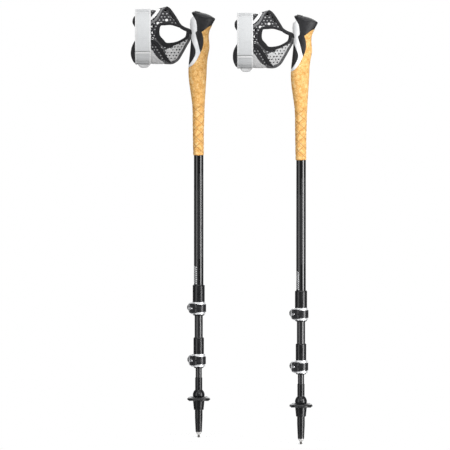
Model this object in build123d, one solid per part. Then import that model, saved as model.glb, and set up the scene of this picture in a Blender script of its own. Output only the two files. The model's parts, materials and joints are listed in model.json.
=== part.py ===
"""A pair of three-section trekking poles with cork grips, clip-in hand straps and lever clamps.

Each pole is built once in its own frame (millimetres, +Z up the shaft, the point's end at the origin,
the strap side at -X) and written twice, as the left and the right pole of the pair.
"""

from build123d import *

import os
from math import acos, cos, degrees, radians, sin

# ---------------------------------------------------------------- the pair
RIGHT_POLE_PLACE = (171.0, -127.0, 0.0)

# ---------------------------------------------------------------- fits
GLUE_GAP = 0.05
RUNNING_GAP = 0.05
PART_GAP = 0.1

# ---------------------------------------------------------------- shaft sections
UPPER_TUBE_R, UPPER_TUBE_BORE_R, UPPER_TUBE_TOP = 8.0, 7.05, 640.0
MIDDLE_TUBE_R, MIDDLE_TUBE_BORE_R, MIDDLE_TUBE_TOP = 6.9, 6.0, 600.0
LOWER_TUBE_R, LOWER_TUBE_BORE_R, LOWER_TUBE_TOP = 5.25, 4.35, 520.0
LOWER_TUBE_BOTTOM = 54.0
PLUG_WALL, PLUG_SHANK, PLUG_COLLAR, PLUG_CHAMFER = 1.2, 18.0, 6.0, 1.0

# ---------------------------------------------------------------- point, flex tip and basket
CARBIDE_R, CARBIDE_LENGTH, CARBIDE_DISH = 2.1, 4.2, 0.6
HOLDER_R, HOLDER_TOP = 4.7, 8.9
HOLDER_SHANK_R, HOLDER_SHANK_TOP = 3.0, 32.0
FOOT_R, LAND_R, LAND_BOTTOM, LAND_TOP = 5.3, 6.4, 33.0, 46.2
THREAD_CORE_R, THREAD_R, THREAD_PITCH, THREAD_FLANK = 6.9, 7.5, 4.0, 0.9
FLANGE_R, FLANGE_BOTTOM, FLANGE_TOP = 10.0, 69.2, 71.0
NECK_R, NECK_BOTTOM, NECK_TOP = 6.0, 80.0, 100.6
BASKET_R, BASKET_COLLAR_R = 19.4, 8.2
RIM_BOTTOM, DISC_BOTTOM, DISC_TOP, HUB_EDGE_R = 62.6, 65.6, 68.9, 10.0
BASKET_WINDOWS, WINDOW_R, WINDOW_LENGTH, WINDOW_WIDTH = 8, 13.6, 5.6, 3.0
RIB_BOTTOM, RIB_WIDTH = 61.4, 1.3

# ---------------------------------------------------------------- lever clamps
UPPER_CLAMP = dict(
    bottom=205.3, top=228.3, sleeve_top=257.0, sleeve_r=10.1, band_r=11.0, ear_reach=17.4,
    outer_tube_r=UPPER_TUBE_R, inner_tube_r=MIDDLE_TUBE_R,
)
LOWER_CLAMP = dict(
    bottom=116.8, top=140.6, sleeve_top=168.2, sleeve_r=8.8, band_r=10.6, ear_reach=17.0,
    outer_tube_r=MIDDLE_TUBE_R, inner_tube_r=LOWER_TUBE_R,
)
CLAMP_FOOT, TUBE_SEAT_ABOVE_BAND = 2.4, 1.0
BAND_WALL, EAR_SLOT, EAR_CORNER = 1.5, 2.0, 7.5
NEAR_EAR, FAR_EAR = 3.6, 9.4
SCREW_R, SCREW_HOLE_R, SCREW_PAST_BAND = 1.4, 1.55, 1.2
BARREL_R, BARREL_HEIGHT, BARREL_SKIN = 2.2, 14.0, 0.7
HUB_R, CAM_OFFSET = 3.2, 0.4
HUB_SLOT, HUB_SLOT_START, HUB_SLOT_END = 4.2, 48.0, 252.0
LEVER_GAP, LEVER_WALL, LEVER_HEIGHT = 0.3, 1.4, 12.8
LEVER_START, LEVER_END = -118.0, -12.0
HEAD_HEIGHT, HEAD_WALL, HEAD_END_X = 15.4, 1.9, -3.0
EYE_LENGTH, EYE_WIDTH, EYE_SHIFT = 3.6, 2.2, 1.0
DIMPLE_R, DIMPLE_DEPTH, DIMPLE_X = 1.2, 1.0, -4.9
WHEEL_R, WHEEL_THICKNESS, WHEEL_RIDGES, RIDGE_R = 7.4, 3.2, 20, 0.5

# ---------------------------------------------------------------- grip outline
GRIP_BOTTOM = 474.9
GRIP_SECTIONS = [  # height, reach to the front, reach to the rear, half width
    (GRIP_BOTTOM, 8.9, 9.4, 9.2), (516.4, 8.9, 10.0, 9.4), (558.4, 10.1, 10.5, 10.1),
    (587.0, 11.8, 14.5, 12.2), (604.6, 13.0, 17.0, 13.8), (622.3, 13.9, 17.4, 14.6),
    (636.0, 14.3, 15.9, 14.3), (650.8, 17.6, 14.5, 13.6), (660.0, 18.5, 13.5, 13.3),
    (673.0, 17.0, 12.9, 13.4), (684.4, 18.6, 13.8, 14.0), (693.0, 21.8, 14.2, 14.6),
    (704.3, 28.3, 14.0, 15.6), (718.0, 29.6, 12.4, 15.8),
]
GRIP_STATIONS = 16
# Side-view lines (x, z) along which the grip's outer pieces meet.
CORK_TO_FRAME = [(-19.0, 622.0), (-12.0, 625.6), (-2.8, 636.6), (2.9, 648.4)]
CORK_TO_CAP = [(2.9, 648.4), (7.7, 662.6), (7.0, 676.0), (4.8, 682.9)]
CORK_TO_BEAK = [(4.8, 682.9), (11.5, 687.7), (18.4, 692.2), (21.8, 693.0)]
FRAME_TO_CAP = [(2.9, 648.4), (-2.8, 671.0), (-5.6, 681.4)]
HOUSING_TO_CAP = [(-5.6, 681.4), (-2.5, 684.5), (-2.8, 693.0), (-4.4, 702.0), (-8.7, 709.6)]
CAP_TOP = [(-12.0, 714.7), (-9.5, 716.4), (0.6, 715.9), (14.9, 712.2), (28.3, 704.3)]
PAD_EDGE = [(-16.2, 627.2), (-8.7, 638.4), (-5.1, 649.0), (-8.7, 661.1), (-12.3, 671.4)]
HOUSING_TOP = [(-8.7, 709.6), (-11.0, 707.5), (-14.6, 702.5)]
GRIP_HALF_WIDTH_LIMIT = 40.0

# ---------------------------------------------------------------- strap catch inside the grip head
CORE_SLEEVE_R, CORE_SLEEVE_BOTTOM, CORE_SLEEVE_TOP = 9.4, 598.0, 641.0
CORE_X, CORE_HALF_WIDTH, CORE_TOP = (-4.6, 8.6), 7.0, 701.5
BUTTON_TRAVEL, BUTTON_GAP, BUTTON_PROUD = 4.6, 0.25, 0.8
BUTTON_X, BUTTON_HALF_WIDTH, BUTTON_CORNER, BUTTON_BOTTOM = (-6.9, 2.9), 7.5, 3.0, 706.5
SLOT_Z, SLOT_HALF_WIDTH = (678.5, 686.0), 6.0
PIN_X, PIN_R, PIN_INTO_ROOF = -9.8, 1.3, 0.6
STEM_X, STEM_HALF_WIDTH = (-0.4, 2.6), 1.9
FOOT_X, FOOT_Z = -11.2, (672.0, 675.0)
SPRING_BOTTOM, SPRING_COIL_R, SPRING_WIRE_R, SPRING_PITCH = 655.0, 1.35, 0.3, 2.0

# ---------------------------------------------------------------- strap
CORD_R, CORD_LOOP_R, CORD_Z, CORD_SLACK = 1.2, 3.8, 683.5, 0.1
EYE_R, EYE_CHANNEL_R, EYE_HALF_WIDTH = 2.2, 1.55, 1.8
WRIST_X, WRIST_CENTRE_Z = (-106.6, -81.2), 672.5
WRIST_HALF_HEIGHT, WRIST_HALF_DEPTH = 46.5, 30.0
WEBBING, LINING, LINING_REACH = 2.0, 3.0, 5.0
FLAP_CLOTH, FLAP_BOTTOM, FLAP_TOP = 1.6, 647.5, 717.3
TAB_HALF_WIDTH, TAB_DROP = 7.5, 5.0
WEB_CLOTH = 2.4
WEB_SECTIONS = [  # x, top, bottom, half depth
    (-81.0, 714.0, 631.0, 25.6), (-66.0, 718.0, 627.2, 25.0), (-53.0, 721.5, 627.4, 23.0),
    (-40.0, 709.5, 630.4, 18.5), (-30.0, 695.0, 643.6, 13.0), (-17.0, 687.0, 676.0, 4.6),
]
THUMB_HOLE = [(-61.6, 692.0), (-40.0, 691.5), (-24.0, 680.5), (-47.0, 662.4), (-66.4, 676.0)]
FINGER_HOLE_CENTRE, FINGER_HOLE_RADII = (-48.0, 668.0), (22.0, 25.0)


# ================================================================ shared shapes
def turned(*profile):
    """A solid turned about the shaft's axis from (radius, z) points."""
    outline = Plane.XZ * make_face(Polyline(*profile, profile[0]))
    return revolve(outline, Axis.Z)


def ring(outer_r, inner_r, bottom, top):
    return turned((inner_r, bottom), (outer_r, bottom), (outer_r, top), (inner_r, top))


def block(x, y, z):
    """A box from (low, high) pairs."""
    size = [high - low for low, high in (x, y, z)]
    middle = [(high + low) / 2 for low, high in (x, y, z)]
    return Pos(*middle) * Box(*size)


def rod(start, end, radius):
    """A round bar between two points."""
    start, end = Vector(*start), Vector(*end)
    plane = Plane(origin=start, z_dir=end - start)
    return extrude(plane * Circle(radius), (end - start).length)


def across(*edges):
    """A side-view face bounded by edges drawn in (x, z), extruded both ways across the grip."""
    return extrude(Plane.XZ * make_face([*edges]), GRIP_HALF_WIDTH_LIMIT, both=True)


def crosswise_rod(x, z, radius):
    return rod((x, -GRIP_HALF_WIDTH_LIMIT, z), (x, GRIP_HALF_WIDTH_LIMIT, z), radius)


def oval_ring(x, half_height, half_depth, wall, centre_z=WRIST_CENTRE_Z):
    """A flat band round an oval whose axis runs along X."""
    plane = Plane(origin=(x[0], 0, centre_z), x_dir=(0, 1, 0), z_dir=(1, 0, 0))
    outer = plane * Ellipse(half_depth, half_height)
    inner = plane * Ellipse(half_depth - wall, half_height - wall)
    return extrude(outer - inner, x[1] - x[0])


# ================================================================ shaft
def upper_tube():
    bottom = UPPER_CLAMP["top"] + TUBE_SEAT_ABOVE_BAND
    return ring(UPPER_TUBE_R, UPPER_TUBE_BORE_R, bottom, UPPER_TUBE_TOP)


def middle_tube():
    bottom = LOWER_CLAMP["top"] + TUBE_SEAT_ABOVE_BAND
    return ring(MIDDLE_TUBE_R, MIDDLE_TUBE_BORE_R, bottom, MIDDLE_TUBE_TOP)


def lower_tube():
    return ring(LOWER_TUBE_R, LOWER_TUBE_BORE_R, LOWER_TUBE_BOTTOM, LOWER_TUBE_TOP)


def guide_plug(tube_bore_r, tube_top, outer_bore_r):
    """The plastic plug in the top of a sliding tube: its collar runs in the next tube's bore."""
    shank_r, collar_r = tube_bore_r - GLUE_GAP, outer_bore_r - RUNNING_GAP
    hollow_r = shank_r - PLUG_WALL
    collar_top = tube_top + PLUG_COLLAR
    return turned(
        (hollow_r, tube_top - PLUG_SHANK), (shank_r, tube_top - PLUG_SHANK), (shank_r, tube_top),
        (collar_r, tube_top), (collar_r, collar_top - PLUG_CHAMFER),
        (collar_r - PLUG_CHAMFER, collar_top), (hollow_r, collar_top),
    )


# ================================================================ point, tip and basket
def carbide_tip():
    """The hard metal point with its dished end, brazed into a steel holder with a long shank."""
    cone_bottom, cone_top = CARBIDE_LENGTH, HOLDER_TOP - 0.8
    return turned(
        (0, CARBIDE_DISH), (CARBIDE_R - 0.3, 0), (CARBIDE_R, 0), (CARBIDE_R, cone_bottom),
        (CARBIDE_R + 0.7, cone_bottom), (HOLDER_R, cone_top), (HOLDER_R, HOLDER_TOP),
        (HOLDER_SHANK_R, HOLDER_TOP), (HOLDER_SHANK_R, HOLDER_SHANK_TOP), (0, HOLDER_SHANK_TOP),
    )


def basket_thread():
    """Outline points of the ridges that the basket screws on to."""
    points = []
    crest = LAND_TOP + THREAD_PITCH
    while crest + THREAD_FLANK < FLANGE_BOTTOM - 1:
        points += [(THREAD_CORE_R, crest - THREAD_FLANK), (THREAD_R, crest - 0.3),
                   (THREAD_R, crest + 0.3), (THREAD_CORE_R, crest + THREAD_FLANK)]
        crest += THREAD_PITCH
    return points


def flange_shoulder(steps=7, lean=1.8):
    """Outline points of the bulb-shaped shoulder from the flange up to the neck."""
    angles = [radians(90 * step / steps) for step in range(1, steps)]
    return [(NECK_R + (FLANGE_R - NECK_R) * cos(a) ** lean, FLANGE_TOP + (NECK_BOTTOM - FLANGE_TOP) * sin(a))
            for a in angles]


def flex_tip():
    """The plastic tip: tapered foot, land for a rubber foot, basket thread, flange and tube socket."""
    shank_hole_r, foot_bottom = HOLDER_SHANK_R + GLUE_GAP, HOLDER_TOP + GLUE_GAP
    socket_r, socket_floor = LOWER_TUBE_R + GLUE_GAP, LOWER_TUBE_BOTTOM - GLUE_GAP
    return turned(
        (shank_hole_r, foot_bottom), (FOOT_R - 0.2, foot_bottom), (FOOT_R, foot_bottom + 0.3),
        (LAND_R, LAND_BOTTOM), (LAND_R, LAND_TOP), (THREAD_CORE_R, LAND_TOP + 0.6),
        *basket_thread(),
        (THREAD_CORE_R, FLANGE_BOTTOM), (FLANGE_R - 0.6, FLANGE_BOTTOM), (FLANGE_R, FLANGE_TOP - 0.8),
        (FLANGE_R, FLANGE_TOP),
        *flange_shoulder(),
        (NECK_R, NECK_BOTTOM), (NECK_R, NECK_TOP - 0.5), (NECK_R - 0.3, NECK_TOP),
        (socket_r, NECK_TOP), (socket_r, socket_floor), (0, socket_floor),
        (0, HOLDER_SHANK_TOP + GLUE_GAP), (shank_hole_r, HOLDER_SHANK_TOP + GLUE_GAP),
    )


def basket():
    """The trekking basket: a domed, windowed disc with ribs under it, on a collar that screws on."""
    bore_r = THREAD_R + PART_GAP
    body = turned(
        (bore_r, LAND_TOP + 0.1), (BASKET_COLLAR_R, LAND_TOP + 0.1), (HUB_EDGE_R - 0.5, RIB_BOTTOM - 2),
        (HUB_EDGE_R, DISC_BOTTOM), (BASKET_R - 4.2, DISC_BOTTOM - 0.8), (BASKET_R - 2.2, RIM_BOTTOM + 0.2),
        (BASKET_R - 1.0, RIM_BOTTOM), (BASKET_R, RIM_BOTTOM + 1.1), (BASKET_R - 0.1, RIM_BOTTOM + 2.3),
        (BASKET_R - 1.4, DISC_TOP - 2.6), (BASKET_R - 4.4, DISC_TOP - 1.0), (HUB_EDGE_R + 1.5, DISC_TOP - 0.2),
        (HUB_EDGE_R, DISC_TOP), (bore_r, DISC_TOP),
    )
    opening = Pos(WINDOW_R, 0, DISC_TOP) * SlotOverall(WINDOW_LENGTH, WINDOW_WIDTH, rotation=90)
    window = extrude(opening, DISC_TOP - RIB_BOTTOM, both=True)
    rib = block((HUB_EDGE_R - 1, BASKET_R - 1.5), (-RIB_WIDTH / 2, RIB_WIDTH / 2), (RIB_BOTTOM, DISC_BOTTOM))
    step = 360 / BASKET_WINDOWS
    body -= [Rot(0, 0, step * i) * window for i in range(BASKET_WINDOWS)]
    return body + [Rot(0, 0, step * (i + 0.5)) * rib for i in range(BASKET_WINDOWS)]


# ================================================================ lever clamps
def screw_place(clamp):
    """The tension screw's x and z, and the y of the lever's pivot on it."""
    x = -(clamp["band_r"] + SCREW_PAST_BAND)
    z = (clamp["bottom"] + CLAMP_FOOT + clamp["top"]) / 2
    pivot_y = -(EAR_SLOT / 2 + NEAR_EAR + PART_GAP + HUB_R + CAM_OFFSET)
    return x, z, pivot_y


def clamp_sleeve(clamp):
    """The black housing: bonded to the outer tube above, a split collar on the inner tube below."""
    collar_r = clamp["band_r"] - BAND_WALL - PART_GAP
    inner_r, tube_r = clamp["inner_tube_r"] + PART_GAP, clamp["outer_tube_r"] + GLUE_GAP
    foot_r, foot_top = clamp["sleeve_r"] - 0.5, clamp["bottom"] + CLAMP_FOOT
    seat = clamp["top"] + TUBE_SEAT_ABOVE_BAND - GLUE_GAP
    body = turned(
        (inner_r, clamp["bottom"]), (foot_r - 1.1, clamp["bottom"]), (foot_r, clamp["bottom"] + 0.9),
        (foot_r, foot_top), (collar_r, foot_top), (collar_r, clamp["top"]),
        (clamp["sleeve_r"], clamp["top"]), (clamp["sleeve_r"], clamp["sleeve_top"] - 1.2),
        (clamp["sleeve_r"] - 0.9, clamp["sleeve_top"]), (tube_r, clamp["sleeve_top"]),
        (tube_r, seat), (inner_r, seat),
    )
    split = block((-2 * clamp["band_r"], 0), (-EAR_SLOT / 2, EAR_SLOT / 2),
                  (clamp["bottom"] - 1, clamp["top"] - 2))
    return body - split


def clamp_band(clamp):
    """The bright tension band round the split collar, with two rounded ears for the screw."""
    bottom, top = clamp["bottom"] + CLAMP_FOOT + PART_GAP, clamp["top"] - PART_GAP
    screw_x, screw_z, _ = screw_place(clamp)
    inner_r = clamp["band_r"] - BAND_WALL
    near_face, far_face = -(EAR_SLOT / 2 + NEAR_EAR), EAR_SLOT / 2 + FAR_EAR
    ears = block((-clamp["ear_reach"], 0), (near_face, far_face), (bottom, top))
    ears = fillet(ears.edges().filter_by(Axis.Y).group_by(Axis.X)[0], EAR_CORNER)
    band = ring(clamp["band_r"], inner_r, bottom, top) + ears
    band -= turned((0, bottom - 1), (inner_r, bottom - 1), (inner_r, top + 1), (0, top + 1))
    band -= block((-clamp["ear_reach"] - 1, 0), (-EAR_SLOT / 2, EAR_SLOT / 2), (bottom - 1, top + 1))
    return band - crosswise_rod(screw_x, screw_z, SCREW_HOLE_R)


def barrel_nut(clamp):
    """The steel cross-dowel that the lever turns on, with a blind bore for the tension screw."""
    screw_x, screw_z, pivot_y = screw_place(clamp)
    barrel = Pos(screw_x, pivot_y, screw_z) * Cylinder(BARREL_R, BARREL_HEIGHT)
    bore_start = pivot_y - BARREL_R + BARREL_SKIN
    return barrel - rod((screw_x, bore_start, screw_z), (screw_x, 0, screw_z), SCREW_R + RUNNING_GAP)


def tension_screw(clamp):
    """The screw through both ears into the barrel nut, with a ridged thumbwheel for a head."""
    screw_x, screw_z, pivot_y = screw_place(clamp)
    inner_face = EAR_SLOT / 2 + FAR_EAR + PART_GAP
    outer_face = inner_face + WHEEL_THICKNESS
    wheel = rod((screw_x, inner_face, screw_z), (screw_x, outer_face, screw_z), WHEEL_R)
    groove = rod((WHEEL_R, 0, -WHEEL_THICKNESS), (WHEEL_R, 0, 2 * WHEEL_THICKNESS), RIDGE_R)
    grooves = [Rot(0, 0, 360 * i / WHEEL_RIDGES) * groove for i in range(WHEEL_RIDGES)]
    wheel -= Pos(screw_x, inner_face, screw_z) * Rot(-90, 0, 0) * Compound(grooves)
    shank_end = pivot_y - BARREL_R + BARREL_SKIN + 0.3
    return wheel + rod((screw_x, shank_end, screw_z), (screw_x, inner_face + 1, screw_z), SCREW_R)


def lever_plan(clamp, wall, end_x=None):
    """The lever's plan: from the cam hub round the band's front, as far as the tip or a given x."""
    screw_x, _, pivot_y = screw_place(clamp)
    inner_r = clamp["band_r"] + LEVER_GAP
    outer_r = inner_r + wall
    end = LEVER_END if end_x is None else degrees(-acos(end_x / outer_r))
    angles = [radians(a) for a in (LEVER_START, (LEVER_START + end) / 2, end)]
    inside = ThreePointArc(*[(inner_r * cos(a), inner_r * sin(a)) for a in angles])
    outside = ThreePointArc(*[(outer_r * cos(a), outer_r * sin(a)) for a in reversed(angles)])
    hub_y = pivot_y + CAM_OFFSET
    hub_front, hub_rear = (screw_x, hub_y - HUB_R), (screw_x + HUB_R, hub_y)
    return make_face([
        inside, Line(inside @ 1, outside @ 0), outside, Line(outside @ 1, hub_front),
        Line(hub_front, hub_rear), Line(hub_rear, inside @ 0),
    ])


def clamp_lever(clamp):
    """The lever: a cam hub on the barrel nut, a tall head beside it and an arm round the band's front."""
    screw_x, screw_z, pivot_y = screw_place(clamp)
    pivot = Pos(screw_x, pivot_y, screw_z)
    lever = Pos(0, 0, screw_z) * extrude(lever_plan(clamp, LEVER_WALL), LEVER_HEIGHT / 2, both=True)
    lever += Pos(0, 0, screw_z) * extrude(lever_plan(clamp, HEAD_WALL, HEAD_END_X), HEAD_HEIGHT / 2, both=True)
    lever += Pos(screw_x, pivot_y + CAM_OFFSET, screw_z) * Cylinder(HUB_R, HEAD_HEIGHT)
    slot_r = HUB_R + 2 * CAM_OFFSET
    slot = Cylinder(slot_r, HUB_SLOT, arc_size=HUB_SLOT_END - HUB_SLOT_START,
                    align=(Align.NONE, Align.NONE, Align.CENTER))
    lever -= pivot * Rot(0, 0, HUB_SLOT_START) * slot
    lever -= pivot * Cylinder(BARREL_R + RUNNING_GAP, 2 * HEAD_HEIGHT)
    eye = Plane(origin=(screw_x + EYE_SHIFT, pivot_y, screw_z), x_dir=(1, 0, 0), z_dir=(0, -1, 0))
    lever -= extrude(eye * SlotOverall(EYE_LENGTH, EYE_WIDTH), 2 * HUB_R)
    front_y = -((clamp["band_r"] + LEVER_GAP + HEAD_WALL) ** 2 - DIMPLE_X ** 2) ** 0.5
    return lever - rod((DIMPLE_X, front_y - 1, screw_z), (DIMPLE_X, front_y + DIMPLE_DEPTH, screw_z), DIMPLE_R)


# ================================================================ grip
def grip_section(z):
    """Front reach, rear reach and half width at a height, between the two nearest sections."""
    for low, high in zip(GRIP_SECTIONS, GRIP_SECTIONS[1:]):
        if z <= high[0]:
            share = (z - low[0]) / (high[0] - low[0])
            return [a + (b - a) * share for a, b in zip(low[1:], high[1:])]
    return GRIP_SECTIONS[-1][1:]


def grip_envelope():
    """The whole grip's outer shape, lofted through evenly spaced elliptical sections."""
    sections = []
    step = (GRIP_SECTIONS[-1][0] - GRIP_BOTTOM) / GRIP_STATIONS
    for z in [GRIP_BOTTOM + step * i for i in range(GRIP_STATIONS + 1)]:
        front, rear, half_width = grip_section(z)
        plane = Plane(origin=((front - rear) / 2, 0, z))
        sections.append(plane * Ellipse((front + rear) / 2, half_width))
    return loft(sections)


def core_outside(relief=0.0):
    """The hard core's outer shape: a sleeve on the tube and a tower up into the head."""
    sleeve = turned((0, CORE_SLEEVE_BOTTOM - relief), (CORE_SLEEVE_R + relief, CORE_SLEEVE_BOTTOM - relief),
                    (CORE_SLEEVE_R + relief, CORE_SLEEVE_TOP), (0, CORE_SLEEVE_TOP))
    width = CORE_HALF_WIDTH + relief
    tower = block((CORE_X[0] - relief, CORE_X[1] + relief), (-width, width),
                  (CORE_SLEEVE_TOP - 1, CORE_TOP + relief))
    return sleeve + tower


def tube_room():
    return turned((0, GRIP_BOTTOM - 1), (UPPER_TUBE_R + GLUE_GAP, GRIP_BOTTOM - 1),
                  (UPPER_TUBE_R + GLUE_GAP, UPPER_TUBE_TOP + GLUE_GAP), (0, UPPER_TUBE_TOP + GLUE_GAP))


def plunger_room():
    """The space the catch plunger sweeps through the core and the housing."""
    width = STEM_HALF_WIDTH + 0.2
    low = FOOT_Z[0] - BUTTON_TRAVEL - 0.2
    foot = block((FOOT_X - 0.3, STEM_X[1] + 0.2), (-width, width), (low, FOOT_Z[1] + 0.3))
    stem = block((STEM_X[0] - 0.2, STEM_X[1] + 0.2), (-width, width), (low, CORE_TOP + 1))
    stem_middle = (STEM_X[0] + STEM_X[1]) / 2
    spring = rod((stem_middle, 0, SPRING_BOTTOM), (stem_middle, 0, FOOT_Z[0]), STEM_HALF_WIDTH)
    pin_top = SLOT_Z[1] + PIN_INTO_ROOF + 0.2
    pin = rod((PIN_X, 0, FOOT_Z[0]), (PIN_X, 0, pin_top), PIN_R + RUNNING_GAP)
    return foot + stem + spring + pin


def strap_slot():
    return block((-2 * GRIP_HALF_WIDTH_LIMIT, CORE_X[0] - GLUE_GAP), (-SLOT_HALF_WIDTH, SLOT_HALF_WIDTH), SLOT_Z)


def button_plan(grow):
    """The button's plan, a rounded rectangle, drawn out into a tall prism."""
    length = BUTTON_X[1] - BUTTON_X[0] + 2 * grow
    middle = (BUTTON_X[0] + BUTTON_X[1]) / 2
    plan = RectangleRounded(length, 2 * (BUTTON_HALF_WIDTH + grow), BUTTON_CORNER)
    bottom = BUTTON_BOTTOM - BUTTON_TRAVEL - 0.2 if grow else BUTTON_BOTTOM
    return Pos(middle, 0, bottom) * extrude(plan, CAP_TOP[0][1] - bottom + 10)


def grip_core():
    """The hard core: socket for the tube, seat for the spring and guide for the catch plunger."""
    return core_outside() - tube_room() - plunger_room()


def cork_grip():
    far = GRIP_HALF_WIDTH_LIMIT
    zone = across(
        Spline(*CORK_TO_FRAME), Spline(*CORK_TO_CAP), Spline(*CORK_TO_BEAK),
        Polyline(CORK_TO_BEAK[-1], (far, CORK_TO_BEAK[-1][1]), (far, GRIP_BOTTOM - 1),
                 (-far, GRIP_BOTTOM - 1), (-far, CORK_TO_FRAME[0][1]), CORK_TO_FRAME[0]),
    )
    return (grip_envelope() & zone) - core_outside(GLUE_GAP) - tube_room()


def grip_cap():
    """The black head: a broad top with a beak in front, and a tongue down to the cork."""
    zone = across(
        Spline(*CORK_TO_CAP), Spline(*CORK_TO_BEAK), Line(CORK_TO_BEAK[-1], CAP_TOP[-1]),
        Spline(*CAP_TOP), Line(CAP_TOP[0], HOUSING_TO_CAP[-1]), Polyline(*HOUSING_TO_CAP),
        Spline(*FRAME_TO_CAP),
    )
    return (grip_envelope() & zone) - core_outside(GLUE_GAP) - button_plan(BUTTON_GAP) - plunger_room()


def trigger_frame():
    """The bright frame: the housing with the strap slot above, the chevron round the pad below."""
    far = -GRIP_HALF_WIDTH_LIMIT
    zone = across(
        Spline(*FRAME_TO_CAP), Polyline(*HOUSING_TO_CAP), Polyline(*HOUSING_TOP),
        Polyline(HOUSING_TOP[-1], (far, HOUSING_TOP[-1][1]), (far, PAD_EDGE[-1][1]), PAD_EDGE[-1]),
        Spline(*PAD_EDGE),
        Polyline(PAD_EDGE[0], (far, PAD_EDGE[0][1]), (far, CORK_TO_FRAME[0][1]), CORK_TO_FRAME[0]),
        Spline(*CORK_TO_FRAME),
    )
    inside = core_outside(GLUE_GAP) + tube_room() + plunger_room() + strap_slot()
    return (grip_envelope() & zone) - inside - button_plan(BUTTON_GAP)


def rear_pad():
    far = -GRIP_HALF_WIDTH_LIMIT
    zone = across(
        Spline(*PAD_EDGE),
        Polyline(PAD_EDGE[-1], (far, PAD_EDGE[-1][1]), (far, PAD_EDGE[0][1]), PAD_EDGE[0]),
    )
    return (grip_envelope() & zone) - core_outside(GLUE_GAP) - tube_room() - plunger_room()


def release_button():
    """The push button in the top of the head; its domed face stands just proud of the cap."""
    top = [(x, z + BUTTON_PROUD) for x, z in CAP_TOP]
    dome = across(Spline(*top), Polyline(top[-1], (top[-1][0], 600), (top[0][0], 600), top[0]))
    return button_plan(0) & dome


def catch_plunger():
    """One moulded piece: stem under the button, foot below the strap slot and the upright catch pin."""
    stem = block(STEM_X, (-STEM_HALF_WIDTH, STEM_HALF_WIDTH), (FOOT_Z[0], BUTTON_BOTTOM - GLUE_GAP))
    foot = block((FOOT_X, STEM_X[1]), (-STEM_HALF_WIDTH, STEM_HALF_WIDTH), FOOT_Z)
    pin = rod((PIN_X, 0, FOOT_Z[0] + 1), (PIN_X, 0, SLOT_Z[1] + PIN_INTO_ROOF), PIN_R)
    return stem + foot + pin


def catch_spring():
    """The coil spring between the core's seat and the plunger's foot."""
    x = (STEM_X[0] + STEM_X[1]) / 2
    low, high = SPRING_BOTTOM + SPRING_WIRE_R, FOOT_Z[0] - SPRING_WIRE_R - GLUE_GAP
    path = Helix(SPRING_PITCH, high - low, SPRING_COIL_R, center=(x, 0, low))
    start = Plane(origin=path @ 0, z_dir=path % 0)
    return sweep(start * Circle(SPRING_WIRE_R), path=path, is_frenet=True)


# ================================================================ strap
def cord_centre_x():
    """The cord loop's centre when its inner edge is drawn up against the catch pin."""
    return PIN_X - (CORD_LOOP_R - CORD_R - PIN_R - CORD_SLACK)


def strap_loop():
    return Pos(cord_centre_x(), 0, CORD_Z) * Torus(CORD_LOOP_R, CORD_R)


def thumb_web():
    """The mesh funnel from the wrist band to the cord loop, open for the thumb and the fingers."""
    outer, inner = [], []
    for x, top, bottom, half_depth in WEB_SECTIONS:
        plane = Plane(origin=(x, 0, (top + bottom) / 2), x_dir=(0, 1, 0), z_dir=(1, 0, 0))
        half_height = (top - bottom) / 2
        outer.append(plane * Ellipse(half_depth, half_height))
        inner.append(plane * Ellipse(half_depth - WEB_CLOTH, half_height - WEB_CLOTH))
    web = loft(outer) - loft(inner)
    thumb = make_face(Spline(*THUMB_HOLE, periodic=True))
    web -= extrude(Plane.XZ * thumb, GRIP_HALF_WIDTH_LIMIT)
    fingers = Pos(*FINGER_HOLE_CENTRE) * Ellipse(*FINGER_HOLE_RADII)
    web -= extrude(Plane.XZ * fingers, -GRIP_HALF_WIDTH_LIMIT)
    return web + strap_eye()


def strap_eye():
    """The stitched eye at the web's point, with a channel that the cord loop turns in."""
    eye_x = cord_centre_x() - CORD_LOOP_R
    neck_x, _, neck_bottom, _ = WEB_SECTIONS[-1]
    eye = extrude(Plane.XZ * Pos(eye_x, CORD_Z) * Circle(EYE_R), EYE_HALF_WIDTH, both=True)
    stem = block((neck_x - 3, eye_x), (-EYE_HALF_WIDTH, EYE_HALF_WIDTH), (CORD_Z - EYE_R, CORD_Z + EYE_R))
    plug = block((neck_x - 3, neck_x), (-EYE_HALF_WIDTH, EYE_HALF_WIDTH), (neck_bottom + 1, CORD_Z + EYE_R))
    channel = Pos(cord_centre_x(), 0, CORD_Z) * Torus(CORD_LOOP_R, EYE_CHANNEL_R)
    return eye + stem + plug - channel


def wrist_band():
    """The webbing band with its padded lining, which reaches out past it, and a pull tab below."""
    webbing = oval_ring(WRIST_X, WRIST_HALF_HEIGHT, WRIST_HALF_DEPTH, WEBBING)
    lining = oval_ring((WRIST_X[0] - LINING_REACH, WRIST_X[1]), WRIST_HALF_HEIGHT - WEBBING,
                       WRIST_HALF_DEPTH - WEBBING, LINING)
    bottom, middle = WRIST_CENTRE_Z - WRIST_HALF_HEIGHT, sum(WRIST_X) / 2
    tab = block((middle - TAB_HALF_WIDTH, middle + TAB_HALF_WIDTH), (-WEBBING / 2, WEBBING / 2),
                (bottom - TAB_DROP, bottom + WEBBING))
    return webbing + lining + tab


def flap_hinge_y():
    """How far in front of the pole's plane the closure flap's stitched end lies."""
    rise = (FLAP_TOP - WRIST_CENTRE_Z) / (WRIST_HALF_HEIGHT + PART_GAP + FLAP_CLOTH / 2)
    return -(WRIST_HALF_DEPTH + PART_GAP + FLAP_CLOTH / 2) * (1 - rise ** 2) ** 0.5


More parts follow.
